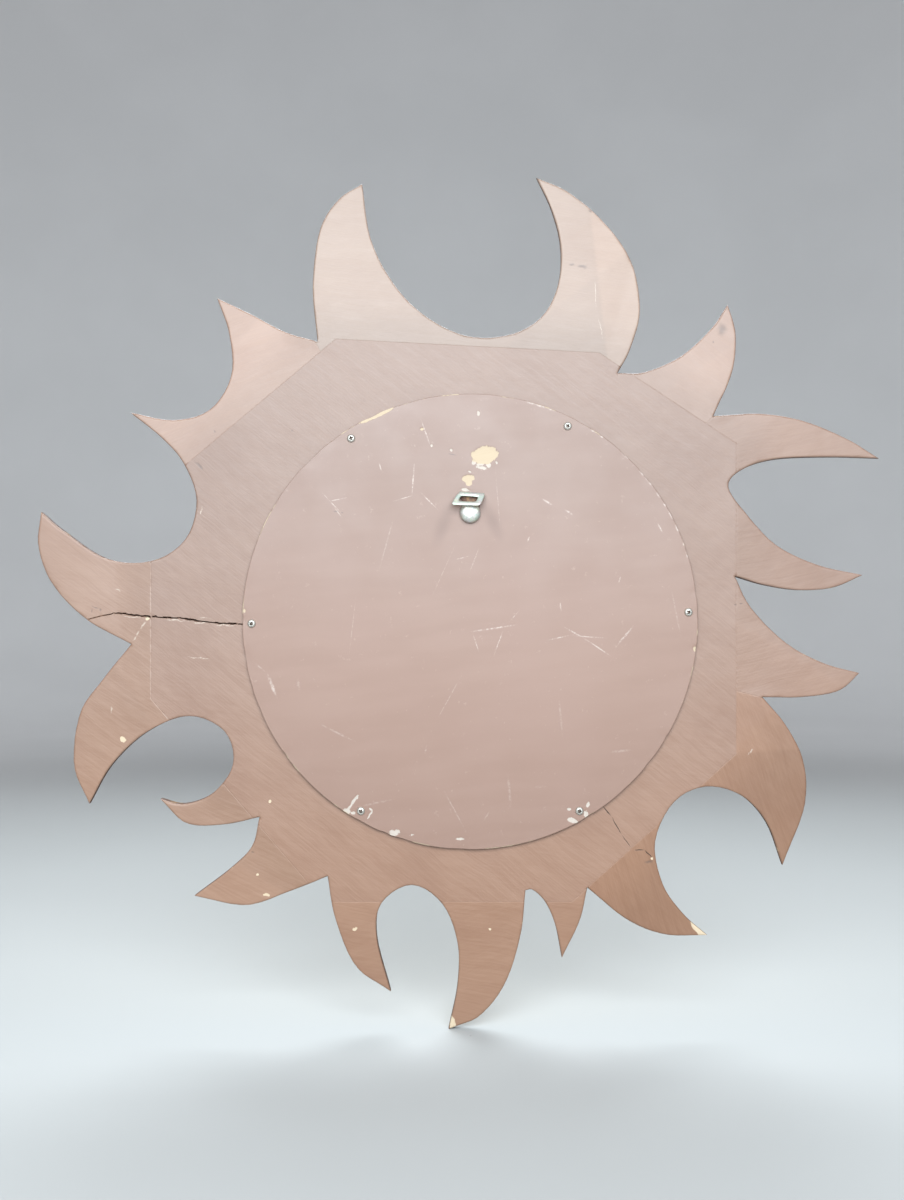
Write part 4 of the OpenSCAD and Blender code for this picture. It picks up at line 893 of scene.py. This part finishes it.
def around_marks(rows):
    """Points laid closely over each mark and a little past its rim."""
    out = []
    for x, z, half_l, half_w, turn in rows:
        across = min(max(half_w * 0.5, 0.28), 0.8)
        along = min(across * 2, half_l * 0.5)
        u = np.arange(-1.25 * half_l - along, 1.25 * half_l + along * 1.5, along)
        v = np.arange(-1.7 * half_w - across, 1.7 * half_w + across * 1.5, across)
        u, v = (g.ravel() for g in np.meshgrid(u, v))
        out.append(turned_by(np.c_[u, v], -turn) + (x, z))
    return np.concatenate(out)


def panel_depth(points, low=0.0, dent=0.0):
    """The panel's warped back face, hollowed under its chips and flakes."""
    r, a = np.linalg.norm(points, axis=1), np.arctan2(points[:, 1], points[:, 0])
    bend = 0.10 * np.sin(2 * a + 0.7) + 0.08 * np.sin(3 * a + 2)
    sag = 0.1 + (r / PANEL_R) ** 2 * (0.12 + bend * 0.6)
    scoop = 0.22 * (1 - smoothstep(0.7, 1.1, nearest_mark(points, PANEL_MARKS["chip"])))
    scoop += 0.12 * (1 - smoothstep(0.6, 1.1, nearest_mark(points, PANEL_MARKS["flake"])))
    return np.minimum(-PANEL_T + low + sag + scoop + dent, -0.02)


def back_panel():
    """The round panel, slightly warped, with a rubbed, nicked rim, its wear and its painted
    shadows under the hanger.
    """
    rng = np.random.default_rng(3)
    spokes, seam = 720, 172.0
    rings = [(r, 0.0) for r in (174, 176, 177.2, 178.4, 179.1, 179.5)]
    rings += [(179.78, 0.12), (179.93, 0.42), (180.0, 0.9), (180.0, 2.4), (179.7, PANEL_T - 0.05)]
    nick = np.zeros(spokes)
    for _ in range(34):
        at, width, deep = rng.integers(spokes), rng.uniform(1.2, 5), rng.uniform(0.15, 0.7)
        gap = np.minimum((np.arange(spokes) - at) % spokes, (at - np.arange(spokes)) % spokes)
        nick = np.maximum(nick, deep * np.exp(-(gap / width) ** 2))
    turn = around(spokes)
    circle = np.c_[np.cos(turn), np.sin(turn)] * seam
    fine = [around_marks(rows) for name, rows in PANEL_MARKS.items() if name != "hanger_shadow"]
    extra = np.concatenate([*fine, hex_grid((-seam, -seam), (seam, seam), 3.0)])
    middle, tris = filled([circle], extra[np.linalg.norm(extra, axis=1) < seam - 0.8])
    plan, depth, edge = [middle], [panel_depth(middle)], [PANEL_R - np.linalg.norm(middle, axis=1)]
    for r, low in rings:
        near = float(smoothstep(172, 180, r))
        row = circle / seam * (r - nick * near * (1.0 if low else 0.6))[:, None]
        plan.append(row)
        depth.append(panel_depth(row, low, nick * 0.35 * near * (low < 1)))
        edge.append(np.full(spokes, PANEL_R - r + low))
    hub = len(middle) + len(rings) * spokes
    plan, depth, edge = np.concatenate([*plan, [(0, 0)]]), [*np.concatenate(depth), -0.05], [
        *np.concatenate(edge), PANEL_R]
    verts = [place(x, d, z) for (x, z), d in zip(plan, depth)]
    faces = [tuple(t) for t in tris] + bands([0, *range(len(middle), hub, spokes)], spokes)
    faces += [(hub, hub - spokes + (k + 1) % spokes, hub - spokes + k) for k in range(spokes)]
    obj = new_mesh("round_back_panel", verts, faces, "case", [painted_panel()], "painted_panel",
                   "back_panel", 42)
    store(obj, edge=edge,
          **{name: nearest_mark(plan, rows) for name, rows in PANEL_MARKS.items()})


def screw_places():
    """Centres of the panel screws' heads, read from the frame."""
    groups = []
    for p in plan_of(points_of("back_panel_screws")):
        near = next((g for g in groups if np.linalg.norm(g[0] - p) < 20), None)
        if near is None:
            groups.append(near := [])
        near.append(p)
    return [(np.min(g, 0) + np.max(g, 0)) / 2 for g in groups]


def domed_head(x, z, radius, rise, base_depth, turn=0.0, recess=0.0, tilt=(0, 0)):
    """Verts and faces of a domed head, with a cross recess where asked."""
    rings, spokes, verts = 26, 96, []
    for t in np.arange(rings + 1) / rings:
        for a in around(spokes):
            px, pz = radius * t * math.cos(a), radius * t * math.sin(a)
            up = rise * math.sqrt(max(0.0, 1 - t ** 2.4)) + tilt[0] * px + tilt[1] * pz
            u = px * math.cos(turn) + pz * math.sin(turn)
            v = -px * math.sin(turn) + pz * math.cos(turn)
            for long, wide in ((u, v), (v, u)):
                arm = max(0.0, 1 - abs(long) / (radius * 0.55))
                cut = max(0.0, 1 - (abs(wide) / (radius * 0.21)) ** 4) * min(1, arm * 2.2)
                up -= recess * cut * 0.7
            verts.append(place(x + px, base_depth - max(up, -0.6), z + pz))
    for a in around(spokes):
        verts.append(place(x + radius * 0.96 * math.cos(a), base_depth + 0.3,
                           z + radius * 0.96 * math.sin(a)))
    return verts, bands(range(0, (rings + 2) * spokes, spokes), spokes)


def joined(parts):
    verts, faces = [], []
    for v, f in parts:
        faces += [tuple(i + len(verts) for i in face) for face in f]
        verts += v
    return verts, faces


def shank(x, z, radius, d0, d1, spokes=24):
    verts = [place(x + r * math.cos(a), d, z + r * math.sin(a))
             for d, r in ((d0, radius), (d1 - 2 * radius, radius), (d1, radius * 0.1))
             for a in around(spokes)]
    return verts, bands(range(0, 3 * spokes, spokes), spokes)


SCREW_R, SCREW_RISE = 3.25, 1.85


def panel_screws(material):
    rng = np.random.default_rng(8)
    centres, parts = screw_places(), []
    for x, z in centres:
        parts.append(domed_head(x, z, SCREW_R, SCREW_RISE, -PANEL_T + 0.02, rng.uniform(0, 1.5),
                                1.6, rng.uniform(-1, 1, 2) * 0.03))
        parts.append(shank(x, z, 1.45, -PANEL_T, 13.0))
    verts, faces = joined(parts)
    obj = new_mesh("panel_screws_domed", verts, faces, "case", [material], "screw_steel",
                   "back_panel_screws", 50)
    co = np.array([v[:] for v in verts])
    from_screw = np.min([np.linalg.norm(plan_of(co) - c, axis=1) for c in centres], 0)
    dome = PANEL_T - 0.02 + SCREW_RISE * np.sqrt(np.maximum(1 - (from_screw / SCREW_R) ** 2.4, 0))
    # where the cross recess lies, for the metal to paint near black as shade
    store(obj, recess=np.clip((dome - (co[:, 1] - BACK_Y) / MM - 0.25) / 0.4, 0, 1))


BOLT = (centre_of("hanger_bolt") - AXIS) / MM
_, BOLT_HEAD_R = front_and_radius("hanger_bolt")
STRIP_T = 1.5
FOLD_UP = 15.3
FOLD_R = 1.4
TAB_DROP = math.radians(54)
TAB_L = 12.0
HANGER_ROLL = math.radians(4)
FOLD_TURN = math.pi / 2 + TAB_DROP
FOLD_ARC = FOLD_R * FOLD_TURN


def hanger_point(across, along, lift):
    """A point of the bent strip: across it, along it from the fold, and off its face."""
    face = min(max(along, 0.0), FOLD_ARC) / FOLD_R
    rest = max(0.0, along - FOLD_ARC)
    out = FOLD_R * (1 - math.cos(face)) + rest * math.cos(TAB_DROP) - lift * math.cos(face)
    up = (min(along, 0.0) + FOLD_R * math.sin(face) - rest * math.sin(TAB_DROP)
          + lift * math.sin(face))
    x = across + 3.6 * rest / TAB_L
    z = FOLD_UP - FOLD_R + up - 0.04 * rest / TAB_L * across
    c, s = math.cos(HANGER_ROLL), math.sin(HANGER_ROLL)
    return place(BOLT.x + x * c - z * s, -(PANEL_T + STRIP_T / 2 + out), BOLT.z + x * s + z * c)


def hanger(material, painted):
    """The bent, slotted strip, knocked a little askew, its leg given the dark side paint as
    painted shade under the tab.
    """
    arc, end = FOLD_ARC, FOLD_ARC + TAB_L
    outline = np.array([
        (-4.2, -20.6), (4.2, -20.6), (7, -12), (7, -5), (9.6, -2.2), (9.8, arc), (11.0, arc + 3.2),
        (11.6, arc + 7), (11.4, end - 1.2), (10.4, end), (-9.2, end), (-11.0, end - 1.6),
        (-10.9, arc + 2), (-10.2, arc), (-10.0, -2.2), (-7, -5), (-7, -12)], float)
    a = np.linspace(0, 2 * math.pi, 40, endpoint=False)
    slot = [middle + half * np.copysign(np.abs(f(a)) ** 0.35, f(a))
            for middle, half, f in ((0.5, 6.9, np.cos), (arc + 5.6, 3.0, np.sin))]
    loops = []
    for lo in (outline, np.transpose(slot)):
        fixed = np.ones(len(lo), bool)
        loops.append(resampled(lo, fixed, fixed, 0.7)[0])
    points, tris = filled(loops, hex_grid((-12, -25), (13, end + 1), 0.9))
    fallen = eased(distance(points, segments_of(loops)), 0.4)
    verts = [hanger_point(x, y, side * (STRIP_T / 2 - soft))
             for side in (1, -1) for (x, y), soft in zip(points, fallen)]
    faces = [tuple(t + base) for base in (0, len(points)) for t in tris]
    obj = new_mesh("hanger_strip_bent", verts, faces + walls(loops, len(points)), "case",
                   [material, painted], "zinc", "hanger_strip", 60)
    for poly in obj.data.polygons:
        low = min(points[v % len(points), 1] for v in poly.vertices)
        # painted shade: the leg under the tab takes the dark side paint
        poly.material_index = 1 if low < -0.5 else 0


def hanger_bolt(material):
    verts, faces = domed_head(BOLT.x, BOLT.z, BOLT_HEAD_R, 4.1, -PANEL_T - STRIP_T - 0.1)
    for v in verts:
        x, _, z = (v - place(BOLT.x, 0, BOLT.z)) / MM
        v.y -= 0.05 * math.sin(1.3 * x + 0.4) * math.sin(1.7 * z) * MM
    body = shank(BOLT.x, BOLT.z, 2.95, -PANEL_T - STRIP_T, 8.9)
    new_mesh("hanger_bolt_domed", *joined([(verts, faces), body]), "case", [material], "zinc",
             "hanger_bolt", 50)


# ---- front: moulding, bezel and glass ----
def moulding(material):
    """The turned moulding with a carved rope band below its flat seat."""
    rope_r, rope_d, rope_half = MOULDING_R - 4.4, BOARD_T + 11.2, 3.4
    rope = [(rope_r + rope_half * math.cos(a), rope_d - rope_half * math.sin(a))
            for a in np.linspace(1.9, -1.9, 21)]
    outer = [(MOULDING_R + r, BOARD_T + d) for r, d in (
        (-0.2, 0.1), (0, 1.2), (0, 4.6), (-1, 6.4), (-5.6, 7.0), (-5.8, 15.6), (-5, 16.4))]
    rim = [(MOULDING_R + r, MOULDING_FRONT + d) for r, d in (
        (-4.9, -2.2), (-5.6, -0.6), (-7.2, 0))]
    seat = [(r, MOULDING_FRONT + d) for r, d in (
        (143.4, 0), (141.6, -1.0), (140.3, -2.9), (140.0, -5.9), (OPENING_R, -5.9))]
    profile = outer[:5] + rope + outer[5:] + rim + seat + [(OPENING_R, BOARD_T + 0.1)]
    first, last, turns = 5, 5 + len(rope), 1080

    def carve(a, k, r, d):
        if first <= k < last:
            around = math.atan2(-(d - rope_d), r - rope_r)
            strand = 1 - 0.30 * abs(math.cos(54 * a + 1.5 * around)) ** 6
            return rope_r + (r - rope_r) * strand, rope_d + (d - rope_d) * strand
        return r, d

    obj = turned("front_moulding_carved", profile, "case", material, "gilt_wood",
                 "front_moulding", turns, 42, carve)
    grooves = (first, first + 1, last - 1, last)
    store(obj, edge=[4.9 if k in grooves else 9 + k % 3 for k in range(len(profile))] * turns)


def bezel(material):
    """The cast bezel: stepped, rolled at the rim, with its glass rebate."""
    f, b = BEZEL_FRONT, MOULDING_FRONT + 1.5
    steps = [(BEZEL_R + r, b + d) for r, d in (
        (-1, 0), (0, 1), (-0.3, 2.2), (-1.4, 3.2), (-2.0, 3.3), (-2.6, 4.3), (-4.4, 5.2),
        (-5.0, 5.1))] + [(BEZEL_R - 5.6, f - 0.5), (BEZEL_R - 7.4, f), (BEZEL_R - 10, f - 0.25)]
    profile = [(138.1, b - 1.1), (139.5, b - 1.1), (139.6, b)] + steps + [
        (139.6, f - 0.1), (138.2, f - 1.1), (138.0, 48.7), (144.9, 48.7), (144.9, 44.9),
        (138.1, 44.9)]
    turned("bezel_ring_turned", rounded(profile, 0.35, 3), "bezel", material, "bezel_brass",
           "bezel_ring", 360, 40)


def bezel_glass(material):
    apex, edge_r = front_and_radius("bezel_glass")
    seat, thick, sight, steps = (BACK_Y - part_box("bezel_glass")[1].y) / MM, 2.5, 137.5, 40
    rise = apex - thick - seat
    ball = (sight ** 2 + rise ** 2) / (2 * rise)

    def cap(i, shift):
        r = sight * max(i, 0.02) / steps
        return r, seat + shift + rise - ball + math.sqrt(ball ** 2 - r ** 2)

    profile = ([cap(i, thick) for i in range(steps + 1)]
               + [(edge_r - 0.3, seat + thick), (edge_r, seat + thick - 0.3),
                  (edge_r, seat + 0.3), (edge_r - 0.3, seat)]
               + [cap(i, 0) for i in range(steps, -1, -1)])
    turned("bezel_glass_domed", profile, "bezel", material, "clear_glass", "bezel_glass", 192, 30)


# ---- CAD nodes that stay, with worked edges and a finish ----
def worked(node, material, edge):
    """A CAD node shown as it is, its edges eased by a bevel in millimetres."""
    obj = frame["nodes"][node]
    obj.data.materials.clear()
    obj.data.materials.append(material)
    for poly in obj.data.polygons:
        poly.material_index = 0
    steps = [
        ("weld", "WELD", {"merge_threshold": 2e-6}),
        ("flat", "DECIMATE", {"decimate_type": "DISSOLVE", "angle_limit": math.radians(0.6)}),
        ("eased", "BEVEL", {"width": edge * MM, "segments": 2, "limit_method": "ANGLE",
                            "angle_limit": math.radians(38), "use_clamp_overlap": True}),
        ("even", "WEIGHTED_NORMAL", {"keep_sharp": False})]
    for name, kind, settings in steps if edge else []:
        modifier = obj.modifiers.new(name, kind)
        for key, value in settings.items():
            setattr(modifier, key, value)


# ---- studio ----
def studio():
    """A pale floor, painted darker near the object as shade, that sweeps up into a round wall well
    outside every view.
    """
    floor_z, spokes = cad_lo.z, 96
    profile = [(0.001, 0.0), (0.6, 0.0), (1.6, 0.0), (2.6, 0.0)]
    profile += [(2.6 + 1.0 * math.sin(a), 1.0 - math.cos(a)) for a in np.linspace(0.15, 1.57, 14)]
    profile += [(3.6, 2.2), (3.6, 4.2)]
    verts = [(r * math.cos(a), r * math.sin(a), floor_z + z) for r, z in profile
             for a in around(spokes)]
    mesh = bpy.data.meshes.new("studio_floor")
    mesh.from_pydata(verts, [], bands(range(0, len(verts), spokes), spokes))
    obj = linked("studio_floor", mesh)
    s = Shader("studio_paper", Roughness=0.9)
    # painted shade: the floor darker near the object, where the lamps fall strongest, and paler
    # further out
    away = s.range(s.length(s.place, (1, 1, 0)), 0.9, 2.6)
    tone = s.mix(away, (0.40, 0.405, 0.40), (0.88, 0.88, 0.88))
    tone = s.mix(s.range(s.noise(2.0), 0.3, 0.7, 0.0, 0.06), tone, (0.3, 0.3, 0.3))
    mesh.materials.append(s.finish(tone, None, s.noise(300), 0.05, 0.0005))
    for poly in mesh.polygons:
        poly.use_smooth = True


MID = (cad_lo + cad_hi) / 2


def softbox(name, at, aim, power):
    light = bpy.data.lights.new(name, "AREA")
    light.shape = "RECTANGLE"
    light.size, light.size_y = 1.5, 0.9
    light.energy = power
    light.color = (0.87, 0.95, 1.0)
    light.spread = math.radians(120)
    obj = linked(name, light)
    obj.location = at
    obj.rotation_euler = (aim - at).to_track_quat("-Z", "Y").to_euler()
    obj.visible_camera = False


def lights():
    softbox("softbox_back", MID + Vector((0, 1.17, 0.50)), MID + Vector((0, 0, 0.02)), 22.4)
    softbox("softbox_front", MID + Vector((0, -1.05, 1.05)), MID, 18)
    world = bpy.data.worlds.new("studio_light")
    bpy.context.scene.world = world
    world.use_nodes = True
    sky = world.node_tree.nodes["Background"].inputs
    sky["Color"].default_value = (0.95, 0.96, 1.0, 1)
    sky["Strength"].default_value = 0.46


VIEW_DISTANCE = 1.0
VIEW_HEIGHT = 0.9504
VIEW_OFFSET = (0.0056, 0.0021)


def camera():
    """Square on to the back, as far off as a hand-held phone."""
    data = bpy.data.cameras.new("camera")
    data.sensor_width = 36
    data.lens = data.sensor_width / 2 / (VIEW_HEIGHT / 2 / VIEW_DISTANCE)
    data.clip_start, data.clip_end = 0.05, 50
    obj = linked("camera", data)
    obj.location = (MID.x + VIEW_OFFSET[0], BACK_Y + VIEW_DISTANCE, MID.z + VIEW_OFFSET[1])
    obj.rotation_euler = (math.pi / 2, 0, math.pi)
    bpy.context.scene.camera = obj


# ---- the object ----
# Each metal's colour, its tarnish's colour, roughness and amount, its clouds' scale and, where
# it is turned, the lines' frequency
METALS = {
    "screw_steel": ((0.60, 0.58, 0.53), (0.20, 0.15, 0.11), 0.40, 0.7, 260),
    "bezel_brass": ((0.80, 0.58, 0.26), (0.30, 0.18, 0.06), 0.16, 0.4, 70, 9000),
    "brass": ((0.78, 0.57, 0.26), (0.33, 0.21, 0.08), 0.24, 0.35, 160),
    "steel": ((0.60, 0.61, 0.63), (0.24, 0.20, 0.17), 0.22, 0.3, 200),
    "blued_steel": ((0.05, 0.08, 0.24), (0.10, 0.07, 0.10), 0.18, 0.3, 150),
    "black_metal": ((0.018, 0.018, 0.022), (0.06, 0.04, 0.03), 0.25, 0.25, 150),
}
# Each enamel's colour, stain, roughness and crazing
ENAMELS = {"dial_enamel": ((0.86, 0.80, 0.67), (0.68, 0.56, 0.38), 0.16, 0.5),
           "black_enamel": ((0.022, 0.020, 0.020), (0.05, 0.04, 0.035), 0.2, 0.0)}
# Bevels in millimetres on the CAD nodes that stay
BEVELS = {"hour_hand": 0.25, "minute_hand": 0.22, "bezel_hinge_leaf": 0.25,
          "case_hinge_leaf": 0.25, "bezel_catch": 0.25, "hour_numerals": 0.12,
          "winding_grommet": 0.2, "hinge_screws": 0.15, "catch_screw": 0.15, "dial_screws": 0.2,
          "hinge_pin": 0.2, "hand_nut": 0.15, "hanger_nut": 0.3, "click": 0.12,
          "click_spring": 0.1, "barrel_arbor": 0.1}


def build():
    gilt, sides = gilt_wood(), sawn_shaded_sides()
    for name, look in BOARDS.items():
        board(name, painted_wood(name, **look), gilt, sides)
    back_panel()
    finishes = {"zinc": zinc(), "gilt_wood": gilt}
    finishes.update((name, metal(name, *look)) for name, look in METALS.items())
    finishes.update((name, enamel(name, *look)) for name, look in ENAMELS.items())
    panel_screws(finishes["screw_steel"])
    hanger(finishes["zinc"], sides)
    hanger_bolt(finishes["zinc"])
    moulding(gilt)
    bezel(finishes["bezel_brass"])
    bezel_glass(glass())
    slots = {part["node"]: part["material_slot"] for part in frame["record"]["subparts"]}
    for node, obj in frame["nodes"].items():
        if not obj.hide_render:
            worked(node, finishes[slots[node]], BEVELS.get(node, 0.0))


studio()
lights()
camera()
bpy.context.scene.view_settings.view_transform = "Standard"
build()
